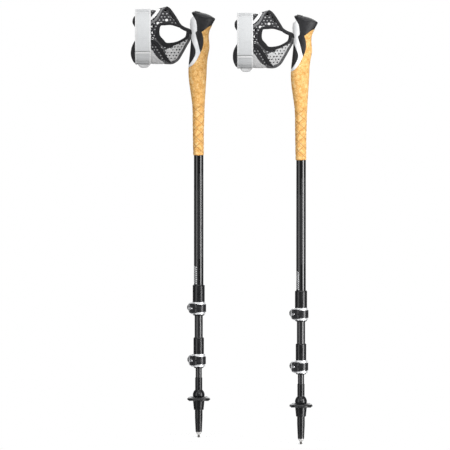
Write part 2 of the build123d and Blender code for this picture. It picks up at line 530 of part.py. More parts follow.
def closure_flap():
    """The hook-and-loop flap over the band's near side, with a rolled end to lift it by."""
    grow = PART_GAP + FLAP_CLOTH
    cloth = oval_ring(WRIST_X, WRIST_HALF_HEIGHT + grow, WRIST_HALF_DEPTH + grow, FLAP_CLOTH)
    near_side = block(WRIST_X, (-2 * WRIST_HALF_DEPTH, flap_hinge_y()), (FLAP_BOTTOM, FLAP_TOP + 2))
    roll = rod((WRIST_X[0], flap_hinge_y(), FLAP_TOP), (WRIST_X[1], flap_hinge_y(), FLAP_TOP),
               FLAP_CLOTH / 2)
    return (cloth & near_side) + roll


# ================================================================ one pole, and the pair
def pole_pieces():
    return {
        "cork_grip": cork_grip(),
        "grip_cap": grip_cap(),
        "trigger_frame": trigger_frame(),
        "rear_pad": rear_pad(),
        "grip_core": grip_core(),
        "release_button": release_button(),
        "catch_plunger": catch_plunger(),
        "catch_spring": catch_spring(),
        "upper_tube": upper_tube(),
        "upper_clamp_sleeve": clamp_sleeve(UPPER_CLAMP),
        "upper_clamp_band": clamp_band(UPPER_CLAMP),
        "upper_barrel_nut": barrel_nut(UPPER_CLAMP),
        "upper_tension_screw": tension_screw(UPPER_CLAMP),
        "upper_clamp_lever": clamp_lever(UPPER_CLAMP),
        "middle_tube": middle_tube(),
        "middle_guide_plug": guide_plug(MIDDLE_TUBE_BORE_R, MIDDLE_TUBE_TOP, UPPER_TUBE_BORE_R),
        "lower_clamp_sleeve": clamp_sleeve(LOWER_CLAMP),
        "lower_clamp_band": clamp_band(LOWER_CLAMP),
        "lower_barrel_nut": barrel_nut(LOWER_CLAMP),
        "lower_tension_screw": tension_screw(LOWER_CLAMP),
        "lower_clamp_lever": clamp_lever(LOWER_CLAMP),
        "lower_tube": lower_tube(),
        "lower_guide_plug": guide_plug(LOWER_TUBE_BORE_R, LOWER_TUBE_TOP, MIDDLE_TUBE_BORE_R),
        "flex_tip": flex_tip(),
        "carbide_tip": carbide_tip(),
        "basket": basket(),
        "strap_loop": strap_loop(),
        "thumb_web": thumb_web(),
        "wrist_band": wrist_band(),
        "closure_flap": closure_flap(),
    }


os.makedirs("parts", exist_ok=True)
for name, piece in pole_pieces().items():
    export_step(piece, f"parts/left_{name}.step")
    export_step(Pos(*RIGHT_POLE_PLACE) * piece, f"parts/right_{name}.step")
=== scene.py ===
"""The looks of a pair of trekking poles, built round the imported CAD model.

Lengths are millimetres in one pole's own frame: the point's end at the origin, +Z up the shaft, the strap
side at -X and the near side at -Y. MM turns them into metres. Each piece is built once and placed on
both poles.
"""
import json
import math

import bmesh
import bpy
import numpy as np
from mathutils import Matrix, Vector


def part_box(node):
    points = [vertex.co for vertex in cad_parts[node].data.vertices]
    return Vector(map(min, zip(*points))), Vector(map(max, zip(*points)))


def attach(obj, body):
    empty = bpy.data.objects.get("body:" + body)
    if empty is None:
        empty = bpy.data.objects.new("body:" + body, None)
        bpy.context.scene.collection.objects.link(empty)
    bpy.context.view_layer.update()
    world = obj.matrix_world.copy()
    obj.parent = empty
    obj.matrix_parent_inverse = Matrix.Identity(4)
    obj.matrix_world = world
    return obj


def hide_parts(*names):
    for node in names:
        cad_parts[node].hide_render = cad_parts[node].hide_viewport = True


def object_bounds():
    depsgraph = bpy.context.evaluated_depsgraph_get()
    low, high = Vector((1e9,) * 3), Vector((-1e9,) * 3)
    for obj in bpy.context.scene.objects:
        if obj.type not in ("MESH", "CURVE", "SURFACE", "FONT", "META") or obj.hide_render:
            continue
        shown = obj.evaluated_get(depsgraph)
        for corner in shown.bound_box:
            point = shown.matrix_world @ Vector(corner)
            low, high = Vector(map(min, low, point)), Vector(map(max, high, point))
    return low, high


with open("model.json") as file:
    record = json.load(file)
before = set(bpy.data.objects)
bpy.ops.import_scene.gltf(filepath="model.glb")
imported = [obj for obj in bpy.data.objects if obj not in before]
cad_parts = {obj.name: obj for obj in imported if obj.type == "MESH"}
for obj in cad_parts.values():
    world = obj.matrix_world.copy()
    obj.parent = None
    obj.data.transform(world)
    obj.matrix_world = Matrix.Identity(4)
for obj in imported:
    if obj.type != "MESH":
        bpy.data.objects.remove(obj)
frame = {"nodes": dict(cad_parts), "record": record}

MM = 0.001
SIDES = ("left", "right")
CAD_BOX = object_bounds()


# ==== places read from the frame
def pole_origin(side):
    """Where a pole's hard-metal point ends, in metres."""
    low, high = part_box(f"{side}_carbide_tip")
    return Vector(((low.x + high.x) / 2, (low.y + high.y) / 2, low.z))


def box_mm(node):
    """A left-pole CAD node's corners in the pole's own millimetres."""
    low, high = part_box(f"left_{node}")
    return (low - ORIGIN["left"]) / MM, (high - ORIGIN["left"]) / MM


ORIGIN = {side: pole_origin(side) for side in SIDES}
FLAP_LOW, FLAP_HIGH = box_mm("closure_flap")
CORD_LOW, CORD_HIGH = box_mm("strap_loop")
CORK_BOTTOM = box_mm("cork_grip")[0].z
TUBE_LOW, TUBE_HIGH = box_mm("upper_tube")
SLEEVE_TOP = box_mm("upper_clamp_sleeve")[1].z


# ==== shader helpers
def opaque(color):
    """A colour with full alpha; a socket stays as it is."""
    return color if isinstance(color, bpy.types.NodeSocket) else (*color, 1.0)


class Paint:
    """Builds one node material; each method adds a node and returns its output socket."""

    def __init__(self, name):
        self.material = bpy.data.materials.new(name)
        self.material.use_nodes = True
        self.tree = self.material.node_tree
        self.surface = self.tree.nodes["Principled BSDF"]
        self.coordinates = self.tree.nodes.new("ShaderNodeTexCoord")

    def node(self, kind, inputs=(), **settings):
        node = self.tree.nodes.new(kind)
        for key, value in settings.items():
            setattr(node, key, value)
        for key, value in dict(inputs).items():
            self.put(node.inputs[key], value)
        return node

    def put(self, socket, value):
        if isinstance(value, bpy.types.NodeSocket):
            self.tree.links.new(value, socket)
        else:
            socket.default_value = value

    def at(self, space="Object", stretch=(1, 1, 1)):
        inputs = {"Scale": stretch, "Vector": self.coordinates.outputs[space]}
        return self.node("ShaderNodeMapping", inputs).outputs["Vector"]

    def split(self, vector):
        return self.node("ShaderNodeSeparateXYZ", {"Vector": vector}).outputs

    def noise(self, size_mm, detail=3.0, roughness=0.55, stretch=(1, 1, 1)):
        inputs = {"Vector": self.at(stretch=stretch), "Scale": 1 / (size_mm * MM)}
        inputs.update(Detail=detail, Roughness=roughness)
        return self.node("ShaderNodeTexNoise", inputs).outputs["Fac"]

    def cells(self, size_mm, output="Distance", stretch=(1, 1, 1)):
        inputs = {"Vector": self.at(stretch=stretch), "Scale": 1 / (size_mm * MM)}
        return self.node("ShaderNodeTexVoronoi", inputs).outputs[output]

    def calc(self, operation, *values):
        node = self.node("ShaderNodeMath", operation=operation)
        for socket, value in zip(node.inputs, values):
            self.put(socket, value)
        return node.outputs[0]

    def plus(self, a, b):
        return self.calc("ADD", a, b)

    def times(self, a, b):
        return self.calc("MULTIPLY", a, b)

    def ridge(self, value, pitch_mm):
        """A rounded ridge that repeats every pitch along a coordinate, between 0 and 1."""
        wave = self.calc("SINE", self.times(value, 2 * math.pi / (pitch_mm * MM)))
        return self.calc("MULTIPLY_ADD", wave, 0.5, 0.5)

    def range(self, value, low, high, out_low=0.0, out_high=1.0):
        inputs = {"Value": value, "From Min": low, "From Max": high, "To Min": out_low, "To Max": out_high}
        return self.node("ShaderNodeMapRange", inputs, interpolation_type="SMOOTHSTEP").outputs["Result"]

    def mix(self, share, a, b):
        node = self.node("ShaderNodeMix", data_type="RGBA")
        for socket, value in (("Factor", share), ("A", opaque(a)), ("B", opaque(b))):
            self.put(node.inputs[socket], value)
        return node.outputs["Result"]

    def bump(self, height, depth_mm, strength=1.0, under=None):
        inputs = {"Height": height, "Distance": depth_mm * MM, "Strength": strength}
        node = self.node("ShaderNodeBump", inputs)
        if under is not None:
            self.put(node.inputs["Normal"], under)
        return node.outputs["Normal"]

    def done(self, color, roughness, normal=None, **extra):
        extra.update(Base_Color=opaque(color), Roughness=roughness)
        if normal is not None:
            extra["Normal"] = normal
        for key, value in extra.items():
            self.put(self.surface.inputs[key.replace("_", " ")], value)
        return self.material


# ==== materials
def cork_material():
    """Pressed cork: blotchy granules, small dark bark flecks, a matt open surface, darker grooves."""
    p = Paint("cork")
    granule = p.cells(2.2, "Color")
    tone = p.node("ShaderNodeSeparateColor", {"Color": granule}).outputs[0]
    body = p.mix(p.range(tone, 0.0, 1.0), (0.76, 0.40, 0.115), (0.93, 0.60, 0.235))
    cloud = p.noise(6.5, 3, 0.6)
    body = p.mix(p.range(cloud, 0.52, 0.68, 0.0, 0.75), body, (0.98, 0.76, 0.40))
    body = p.mix(p.range(cloud, 0.46, 0.32, 0.0, 0.7), body, (0.60, 0.27, 0.060))
    grain = p.noise(0.9, 5, 0.7)
    body = p.mix(p.range(grain, 0.56, 0.36, 0.0, 0.6), body, (0.50, 0.22, 0.055))
    fleck = p.range(p.cells(2.8), 0.27, 0.13)
    fleck = p.times(fleck, p.range(p.noise(4.5, 2), 0.52, 0.60))
    body = p.mix(p.times(fleck, 0.8), body, (0.25, 0.10, 0.028))
    pits = p.range(p.noise(1.1, 4, 0.7), 0.33, 0.40)
    body = p.mix(p.times(p.calc("SUBTRACT", 1.0, pits), 0.6), body, (0.28, 0.12, 0.035))
    groove = p.node("ShaderNodeAttribute", attribute_name="groove").outputs["Fac"]
    body = p.mix(p.times(groove, 0.75), body, (0.32, 0.14, 0.04))
    handled = p.range(p.noise(30, 2), 0.45, 0.7)
    normal = p.bump(grain, 0.22, 0.5)
    normal = p.bump(pits, 0.35, 0.7, under=normal)
    return p.done(body, p.range(handled, 0, 1, 0.84, 0.70), normal, Specular_IOR_Level=0.12)


def rubber_material():
    """Soft black overmoulding with a very fine spark texture and slightly polished high spots."""
    p = Paint("grip_rubber")
    mottle = p.noise(9, 3)
    color = p.mix(p.range(mottle, 0.3, 0.7), (0.009, 0.009, 0.010), (0.016, 0.016, 0.018))
    rough = p.range(p.noise(22, 2), 0.35, 0.65, 0.42, 0.55)
    normal = p.bump(p.noise(0.35, 2), 0.05, 0.5)
    return p.done(color, rough, normal, Specular_IOR_Level=0.36)


def black_plastic_material(name, low, high, rough):
    """Moulded black plastic: a faint cloud in the colour, light scuffs, a fine spark texture."""
    p = Paint(name)
    mottle = p.noise(6, 3)
    color = p.mix(p.range(mottle, 0.3, 0.7), (low, low, low * 1.1), (high, high, high * 1.1))
    scuff = p.range(p.noise(1.6, 3, stretch=(1, 1, 0.25)), 0.62, 0.72)
    color = p.mix(p.times(scuff, 0.25), color, (0.05, 0.05, 0.053))
    rough = p.range(mottle, 0.3, 0.7, rough, rough + 0.08)
    normal = p.bump(p.noise(0.5, 3), 0.04, 0.4)
    return p.done(color, rough, normal, Specular_IOR_Level=0.42)


def white_plastic_material():
    """Bright moulded plastic with a little grime in its texture."""
    p = Paint("white_plastic")
    cloud = p.noise(12, 2)
    color = p.mix(p.range(cloud, 0.35, 0.65), (0.80, 0.81, 0.82), (0.88, 0.88, 0.88))
    grime = p.range(p.noise(2.2, 4, 0.65), 0.60, 0.74)
    color = p.mix(p.times(grime, 0.18), color, (0.52, 0.51, 0.49))
    normal = p.bump(p.noise(0.6, 2), 0.04, 0.4)
    return p.done(color, p.range(cloud, 0.3, 0.7, 0.26, 0.36), normal, Coat_Weight=0.2)


def clamp_silver_material():
    """Bright satin-anodised band with faint turning marks round it."""
    p = Paint("clamp_silver")
    height = p.split(p.at())[2]
    lines = p.noise(0.35, 3, stretch=(0.05, 0.05, 1))
    color = p.mix(p.range(lines, 0.3, 0.7), (0.74, 0.75, 0.76), (0.88, 0.88, 0.89))
    wear = p.range(p.noise(1.8, 4), 0.62, 0.75)
    color = p.mix(p.times(wear, 0.3), color, (0.55, 0.55, 0.56))
    normal = p.bump(p.times(lines, p.ridge(height, 0.8)), 0.03, 0.4)
    return p.done(color, p.range(lines, 0.3, 0.7, 0.28, 0.40), normal, Metallic=0.35)


def steel_material(name, color, rough, point_mm=None):
    """Turned steel; the lowest point_mm, where given, is the darker hard-metal point."""
    p = Paint(name)
    lines = p.noise(0.3, 3, stretch=(0.08, 0.08, 1))
    tone = p.mix(p.range(lines, 0.3, 0.7), tuple(c * 0.8 for c in color), color)
    stain = p.range(p.noise(1.5, 4), 0.58, 0.72)
    tone = p.mix(p.times(stain, 0.35), tone, (0.18, 0.16, 0.14))
    if point_mm is not None:
        height = p.split(p.at())[2]
        floor = ORIGIN["left"].z
        point = p.range(height, floor + (point_mm - 0.3) * MM, floor + point_mm * MM, 0.9, 0.0)
        tone = p.mix(point, tone, (0.09, 0.085, 0.08))
    return p.done(tone, p.range(lines, 0.3, 0.7, rough, rough + 0.14), p.bump(lines, 0.03, 0.5), Metallic=1.0)


# The printed field on the upper tubes: its two top ends and its bottom, in mm above the point.
FIELD_TOPS, FIELD_BOTTOM = (417.0, 445.0), 301.0
FIELD_EDGE = 0.3


def lacquer_material(name, printed_side=None):
    """Lacquer over the drawn tube: satin graphite with fine draw lines and scratches.

    The upper tubes are gloss black above and below a graphite field whose ends step from left to right.
    """
    p = Paint(name)
    flake = p.noise(0.5, 2)
    color = p.mix(p.range(flake, 0.3, 0.7), (0.009, 0.009, 0.010), (0.017, 0.017, 0.018))
    draw = p.noise(0.7, 3, stretch=(1, 1, 0.015))
    scratch = p.range(p.noise(0.5, 2, stretch=(1, 1, 0.06)), 0.70, 0.76)
    color = p.mix(p.times(scratch, 0.14), color, (0.10, 0.10, 0.105))
    rough = p.range(draw, 0.3, 0.7, 0.24, 0.30)
    if printed_side is not None:
        x, _, z = p.split(p.at())
        middle, floor = ORIGIN[printed_side].x, ORIGIN[printed_side].z
        left_top, right_top = (floor + top * MM for top in FIELD_TOPS)
        top = p.range(x, middle - 0.6 * MM, middle + 0.4 * MM, left_top, right_top)
        bottom = p.range(x, middle - 1.6 * MM, middle - 0.4 * MM, floor, floor + FIELD_BOTTOM * MM)
        under = p.range(p.calc("SUBTRACT", top, z), 0, FIELD_EDGE * MM)
        over = p.range(p.calc("SUBTRACT", z, bottom), 0, FIELD_EDGE * MM)
        field = p.times(under, over)
        color = p.mix(field, (0.0012, 0.0012, 0.0014), color)
        rough = p.plus(p.times(field, 0.14), p.range(draw, 0.3, 0.7, 0.10, 0.13))
    return p.done(color, rough, p.bump(draw, 0.012, 0.25), Coat_Weight=0.7, Coat_Roughness=0.12,
                  Specular_IOR_Level=0.4)


def print_material():
    """White screen print on the lacquer, a little worn through."""
    p = Paint("white_print")
    worn = p.range(p.noise(0.6, 4, 0.7), 0.62, 0.72)
    color = p.mix(worn, (0.82, 0.83, 0.84), (0.35, 0.35, 0.36))
    return p.done(color, 0.32, p.bump(worn, 0.01, 0.5), Coat_Weight=0.4)


def weave_material(name, dark, light, rib_mm, cross_mm, sheen=0.3, edge=None):
    """Plain-woven tape. U runs along the tape and V across it, both in metres.

    An edge is the tape's half width, the width of its selvage in mm and the selvage's tone.
    """
    p = Paint(name)
    along, across, _ = p.split(p.at("UV"))
    rib = p.ridge(along, rib_mm)
    warp = p.ridge(across, cross_mm)
    over = p.plus(rib, p.times(warp, 0.35))
    fibre = p.noise(0.45, 4, 0.7)
    level = p.plus(p.times(over, 0.3), p.times(fibre, 0.7))
    color = p.mix(p.range(level, 0.25, 0.75), dark, light)
    cloud = p.range(p.noise(13, 3), 0.5, 0.75)
    color = p.mix(p.times(cloud, 0.2), color, dark)
    if edge is not None:
        half, width, tone = edge
        out = p.range(p.calc("ABSOLUTE", across), (half - width - 0.4) * MM, (half - width) * MM)
        color = p.mix(p.times(out, 0.75), color, tone)
    normal = p.bump(over, 0.2, 0.6)
    normal = p.bump(fibre, 0.1, 0.5, under=normal)
    return p.done(color, 0.86, normal, Sheen_Weight=sheen, Sheen_Roughness=0.5, Specular_IOR_Level=0.2)


def cloth_material(name, dark, light, sheen=0.4):
    """Knitted or felted cloth with a soft uneven surface, in object space."""
    p = Paint(name)
    knit = p.cells(0.75, stretch=(1, 1, 1.6))
    fibre = p.noise(0.4, 4, 0.7)
    level = p.plus(p.times(knit, 0.7), p.times(fibre, 0.5))
    color = p.mix(p.range(level, 0.2, 0.8), dark, light)
    color = p.mix(p.range(p.noise(12, 3), 0.45, 0.75, 0, 0.3), color, dark)
    normal = p.bump(knit, 0.3, 0.7)
    normal = p.bump(fibre, 0.12, 0.5, under=normal)
    return p.done(color, 0.88, normal, Sheen_Weight=sheen, Sheen_Roughness=0.45, Specular_IOR_Level=0.2)


MATERIAL = {
    "cork": cork_material(),
    "grip_rubber": rubber_material(),
    "black_plastic": black_plastic_material("black_plastic", 0.004, 0.009, 0.22),
    # A lighter copy of the black plastic for the levers: its raised tone is a painted highlight for the grey
    # sheen on their curved faces, and its lower roughness is their own gloss.
    "lever_plastic_highlit": black_plastic_material("lever_plastic_highlit", 0.010, 0.022, 0.20),
    "white_plastic": white_plastic_material(),
    "clamp_silver": clamp_silver_material(),
    "steel": steel_material("steel", (0.62, 0.62, 0.64), 0.24),
    "tip_steel": steel_material("tip_steel", (0.62, 0.61, 0.60), 0.34, point_mm=4.2),
    "black_lacquer": lacquer_material("black_lacquer"),
    "left_print": lacquer_material("left_print", "left"),
    "right_print": lacquer_material("right_print", "right"),
    "white_print": print_material(),
}
WEAVES = {  # darkest and lightest tone, rib and cross pitch in mm, then sheen and edge
    "grey_webbing": ((0.34, 0.345, 0.35), (0.60, 0.61, 0.615), 1.1, 1.4, 0.3, (13.2, 2.0, (0.66,) * 3)),
    "strap_binding": ((0.003, 0.003, 0.0035), (0.018, 0.018, 0.020), 1.0, 0.9, 0.12),
    "mottled_binding": ((0.010, 0.010, 0.011), (0.11, 0.11, 0.113), 1.5, 1.2),
    "pale_binding": ((0.035, 0.035, 0.036), (0.23, 0.23, 0.235), 1.5, 1.2),
    # a pale tone; on the flap's lip it is a painted highlight on the edge that catches the light
    "pale_edge": ((0.62,) * 3, (0.84,) * 3, 0.8, 0.9),
    # a dark strip laid in the gap under the flap's end: painted shadow
    "seam_thread": ((0.10,) * 3, (0.24,) * 3, 0.6, 1.3),
    "stitch": ((0.45,) * 3, (0.75,) * 3, 0.6, 0.4),
    "dark_stitch": ((0.05,) * 3, (0.16,) * 3, 0.6, 0.4),
}
CLOTHS = {  # darkest and lightest tone, then sheen
    "strap_mesh": ((0.006, 0.006, 0.007), (0.034, 0.034, 0.037)),
    "mesh_ground": ((0.20, 0.20, 0.203), (0.42, 0.42, 0.425)),
    "mesh_shadow": ((0.003,) * 3, (0.012,) * 3),
    "pale_mesh": ((0.30, 0.30, 0.305), (0.62,) * 3),
    "grey_cloth": ((0.30, 0.30, 0.305), (0.58,) * 3),
    "lining_cloth": ((0.004, 0.004, 0.005), (0.022, 0.022, 0.024), 0.15),
}
MATERIAL.update({name: weave_material(name, *look) for name, look in WEAVES.items()})
MATERIAL.update({name: cloth_material(name, *look) for name, look in CLOTHS.items()})


# ==== mesh helpers
def linked(name, data):
    """A new object in the scene that holds a mesh, a light or a camera."""
    item = bpy.data.objects.new(name, data)
    bpy.context.scene.collection.objects.link(item)
    return item


def new_mesh(points_mm, faces, material, uv=None):
    """A smooth mesh from millimetre points; uv holds one (u, v) pair in millimetres per face corner."""
    mesh = bpy.data.meshes.new("mesh")
    mesh.from_pydata([tuple(c * MM for c in point) for point in points_mm], [], faces)
    if uv is not None:
        layer = mesh.uv_layers.new(name="UVMap")
        layer.data.foreach_set("uv", (np.array(uv, float).ravel() * MM).astype(np.float32))
    mesh.materials.append(MATERIAL[material])
    mesh.polygons.foreach_set("use_smooth", [True] * len(mesh.polygons))
    mesh.validate()
    shape = bmesh.new()
    shape.from_mesh(mesh)
    bmesh.ops.recalc_face_normals(shape, faces=shape.faces)
    shape.to_mesh(mesh)
    shape.free()
    return mesh


def ring_faces(count, ring, closed=True):
    """Quads between each ring of points and the next; closed joins the last ring to the first."""
    faces = []
    for i in range(count if closed else count - 1):
        j = (i + 1) % count
        for k in range(ring):
            m = (k + 1) % ring
            faces.append((i * ring + k, i * ring + m, j * ring + m, j * ring + k))
    return faces


def grid_faces(lines, gaps):
    """Quads over lines + 1 rows of gaps + 1 points."""
    row = gaps + 1
    starts = [a * row + b for a in range(lines) for b in range(gaps)]
    return [(a, a + 1, a + row + 1, a + row) for a in starts]


def place(name, mesh, body, replaced=None):
    """Puts one object of this mesh on each pole, riding on a body and standing in for a CAD node."""
    mesh.name = name
    for side in SIDES:
        piece = linked(f"{side}_{name}", mesh)
        piece.location = ORIGIN[side]
        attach(piece, f"{side}_{body}")
        if replaced is not None:
            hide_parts(f"{side}_{replaced}")


def applied(mesh, *modifiers):
    """The mesh with modifiers applied; each is (kind, {setting: value})."""
    carrier = linked("carrier", mesh)
    for kind, settings in modifiers:
        modifier = carrier.modifiers.new(kind.lower(), kind)
        for key, value in settings.items():
            setattr(modifier, key, value)
    graph = bpy.context.evaluated_depsgraph_get()
    result = bpy.data.meshes.new_from_object(carrier.evaluated_get(graph))
    bpy.data.objects.remove(carrier)
    return result


def thickened(sheet, thickness_mm):
    """The sheet with a thickness, half on each side, and rounded edges."""
    return applied(sheet, ("SOLIDIFY", dict(thickness=thickness_mm * MM, offset=0.0)),
                   ("SUBSURF", dict(levels=1, render_levels=1)))


def smooth_curve(points, per_span=8, closed=False):
    """A Catmull-Rom curve through the points, as an array."""
    pts = np.array(points, float)
    count = len(pts)
    spans = count if closed else count - 1
    out = []
    for i in range(spans):
        near = range(i - 1, i + 3)
        a, b, c, d = (pts[k % count if closed else min(max(k, 0), count - 1)] for k in near)
        for s in np.arange(per_span) / per_span:
            out.append(0.5 * (2 * b + (c - a) * s + (2 * a - 5 * b + 4 * c - d) * s ** 2
                              + (3 * b - a - 3 * c + d) * s ** 3))
    if not closed:
        out.append(pts[-1])
    return np.array(out)


def rounded_profile(width, thickness, corner_steps=3):
    """A flat tape's cross-section with round edges: (across, up) points."""
    radius = thickness / 2
    points = []
    for centre, start in ((width / 2 - radius, -90), (radius - width / 2, 90)):
        for i in range(2 * corner_steps + 1):
            angle = math.radians(start + 90 * i / corner_steps)
            points.append((centre + radius * math.cos(angle), radius * math.sin(angle)))
    return points


def crowned_profile(width, thickness, steps=8):
    """A lens-like cross-section, thick in the middle, for padding and folded binding."""
    points = []
    for i in range(2 * steps):
        angle = math.pi * i / steps
        across, up = (math.copysign(abs(v) ** 0.7, v) for v in (math.cos(angle), math.sin(angle)))
        points.append((width / 2 * across, thickness / 2 * up))
    return points


def sweep(path, normals, profile, material, closed=False, widths=None):
    """A cross-section carried along a path; normals point out of the tape's face at each path point."""
    path, normals = np.array(path, float), np.array(normals, float)
    count, ring = len(path), len(profile)
    ahead = np.roll(path, -1, 0) - np.roll(path, 1, 0)
    if not closed:
        ahead[0], ahead[-1] = path[1] - path[0], path[-1] - path[-2]
    ahead /= np.linalg.norm(ahead, axis=1)[:, None]
    across = np.cross(ahead, normals)
    across /= np.linalg.norm(across, axis=1)[:, None]
    up = np.cross(across, ahead)
    scale = np.ones(count) if widths is None else widths
    points = [path[i] + across[i] * s * scale[i] + up[i] * t for i in range(count) for s, t in profile]
    lengths = run_lengths(path)
    if closed:
        lengths = np.append(lengths, lengths[-1] + np.linalg.norm(path[0] - path[-1]))
    faces, uv = ring_faces(count, ring, closed), []
    for i, (here, there) in enumerate(zip(lengths, lengths[1:])):
        for k in range(ring):
            a, b = profile[k][0] * scale[i], profile[(k + 1) % ring][0] * scale[i]
            uv += [(here, a), (here, b), (there, b), (there, a)]
    if not closed:
        faces.append(tuple(reversed(range(ring))))
        faces.append(tuple((count - 1) * ring + k for k in range(ring)))
        uv += [(0, s) for s, _ in reversed(profile)]
        uv += [(lengths[-1], s) for s, _ in profile]
    return new_mesh(points, faces, material, uv)


def run_lengths(path):
    """The distance along a path at each of its points."""
    return np.concatenate([[0], np.cumsum(np.linalg.norm(np.diff(path, axis=0), axis=1))])


def joined(meshes):
    """Several meshes as one, keeping their materials and UVs."""
    carriers = [linked("part", mesh) for mesh in meshes]
    with bpy.context.temp_override(active_object=carriers[0], selected_editable_objects=carriers,
                                   selected_objects=carriers):
        bpy.ops.object.join()
    result = carriers[0].data
    bpy.data.objects.remove(carriers[0])
    return result


def inside(point, outline):
    """True if a side-view point lies in a closed outline."""
    x, z = point
    found = False
    for (x0, z0), (x1, z1) in zip(outline, np.roll(outline, -1, 0)):
        if (z0 > z) != (z1 > z) and x < (x1 - x0) * (z - z0) / (z1 - z0) + x0:
            found = not found
    return found


def onto(point, outline):
    """The nearest point on a closed outline."""
    starts, ends = np.array(outline), np.roll(outline, -1, 0)
    along = ends - starts
    share = np.clip(((point - starts) * along).sum(1) / np.maximum((along ** 2).sum(1), 1e-9), 0, 1)
    nearest = starts + along * share[:, None]
    return nearest[np.argmin(((nearest - point) ** 2).sum(1))]


# ==== grip
GROOVE_TOP = 566.0
GROOVE_PITCH, GROOVE_WIDTH, GROOVE_DEPTH = 15.5, 1.3, 0.8
GROOVE_TURNS = 3
GROOVE_INNER_R = 8.6  # the bore's wall stays smooth
DOME_FROM, DOME_BLEND, DOME_DROP, DOME_HALF_WIDTH = 700, 12, 4.2, 15.8
RIM_FROM, RIM_BELOW_TOP, RIM_HALF_HEIGHT, RIM_REACH = 690, 2.4, 1.3, 0.55


def refined(node, material, voxel_mm, smoothing):
    """A copy of a CAD node's mesh with even faces and softly rounded edges."""
    source = frame["nodes"][f"left_{node}"].data.copy()
    source.transform(Matrix.Translation(-ORIGIN["left"]))
    mesh = applied(
        source,
        ("REMESH", dict(mode="VOXEL", voxel_size=voxel_mm * MM, use_smooth_shade=True)),
        ("SMOOTH", dict(factor=0.5, iterations=smoothing)),
    )
    mesh.materials.clear()
    mesh.materials.append(MATERIAL[material])
    return mesh


def moved_points(mesh, move):
    """Moves every vertex by a function of its millimetre point, given and returned as arrays."""
    mesh.vertices.foreach_set("co", (move(mesh_points(mesh)) * MM).astype(np.float32).ravel())
    mesh.update()
    return mesh


def groove_share(points):
    """How deep each point sits in the criss-cross grooves of the long cork extension, from 0 to 1."""
    x, y, z = points.T
    angle = np.arctan2(y, x)
    fade = np.clip((GROOVE_TOP - z) / 8, 0, 1) * np.clip((z - CORK_BOTTOM - 3) / 3, 0, 1)
    dent = np.zeros(len(points))
    for hand in (1, -1):
        turns = (z - CORK_BOTTOM) / GROOVE_PITCH + hand * GROOVE_TURNS * angle / (2 * math.pi)
        off = np.abs(turns - np.round(turns)) * GROOVE_PITCH
        dent = np.maximum(dent, np.clip(1 - off / GROOVE_WIDTH, 0, 1))
    return dent * fade * (np.hypot(x, y) > GROOVE_INNER_R)


def cork_grooves(points):
    """Presses the grooves into the cork."""
    radius = np.hypot(points[:, 0], points[:, 1])
    share = 1 - GROOVE_DEPTH * groove_share(points) / radius
    return points * np.column_stack([share, share, np.ones(len(points))])


def mesh_points(mesh):
    """Every vertex in millimetres, as an array."""
    flat = np.zeros(len(mesh.vertices) * 3, np.float32)
    mesh.vertices.foreach_get("co", flat)
    return flat.reshape(-1, 3).astype(float) / MM


def domed_head(points):
    """Rounds the flat top of the head down towards both sides."""
    y, z = points[:, 1], points[:, 2]
    result = points.copy()
    result[:, 2] -= DOME_DROP * np.clip((z - DOME_FROM) / DOME_BLEND, 0, 1) * (y / DOME_HALF_WIDTH) ** 2
    return result


def rimmed_head(points):
    """Stands a soft rim out round the head, just under its top, and domes the top."""
    x, y, z = points.T
    bins = np.round(x).astype(int)
    tops = {b: z[bins == b].max() for b in np.unique(bins)}
    below = np.array([tops[b] for b in bins]) - z
    rim = np.clip(1 - np.abs(below - RIM_BELOW_TOP) / RIM_HALF_HEIGHT, 0, 1) * (z > RIM_FROM)
    result = points.copy()
    result[:, 1] += RIM_REACH * rim * np.sign(y) * np.clip(np.abs(y) - 4, 0, 1)
    return domed_head(result)


def build_grip():
    """The grooved cork, and the head's cap, button, housing and palm pad."""
    cork = refined("cork_grip", "cork", 0.75, 5)
    groove = cork.attributes.new("groove", "FLOAT", "POINT")
    groove.data.foreach_set("value", groove_share(mesh_points(cork)).astype(np.float32))
    place("cork_body", moved_points(cork, cork_grooves), "upper_shaft", "cork_grip")
    cap = moved_points(refined("grip_cap", "grip_rubber", 0.5, 6), rimmed_head)
    place("head_cap", cap, "upper_shaft", "grip_cap")
    button = moved_points(refined("release_button", "grip_rubber", 0.4, 6), domed_head)
    place("head_button", button, "button", "release_button")
    housing = refined("trigger_frame", "white_plastic", 0.5, 5)
    place("strap_housing", housing, "upper_shaft", "trigger_frame")
    pad = refined("rear_pad", "grip_rubber", 0.5, 5)
    place("palm_pad", pad, "upper_shaft", "rear_pad")


# ==== strap shapes
WRIST_CENTRE = 674.2
WRIST_HEIGHT, WRIST_DEPTH = 46.5, 30.0
WEBBING, LINING = 2.0, 3.0
WEB_STATIONS = [  # x, top, bottom, half depth
    (-90, 713, 631, 25.4), (-81.5, 714, 628.5, 25.4), (-76, 718.4, 626.4, 25.2),
    (-66, 719.5, 626.4, 24.6),
    (-53, 723, 626.8, 21.5), (-40, 708.5, 629.8, 16.5), (-30, 692.5, 641.6, 11),
    (-21, 687.2, 659.5, 6.5), (-12, 684.6, 679, 2.2),
]


def web_depth(x, z):
    """How far the web's cloth lies from the pole's middle plane at a side-view point."""
    stations = np.array(WEB_STATIONS).T
    top, bottom, depth = (np.interp(x, stations[0], row) for row in stations[1:])
    t = np.clip((z - (top + bottom) / 2) / ((top - bottom) / 2), -1, 1)
    power = np.interp(x, (-81, -60), (0.5, 0.9))
    return depth * np.maximum(1 - t ** 2, 0) ** power


def web_rise(x):
    """How much higher the web hangs at x than its outline says, less where it meets the cord."""
    return np.interp(x, (-30, -12), (1.8, 0.6))


def web_points(flat, near, lift):
    """Side-view (x, z) points laid on the near or far side of the web, lifted outwards by a little."""
    flat = np.array(flat, float)
    y = np.array([web_depth(x, z) for x, z in flat]) + lift
    return np.column_stack([flat[:, 0], -y if near else y, flat[:, 1] + web_rise(flat[:, 0])])


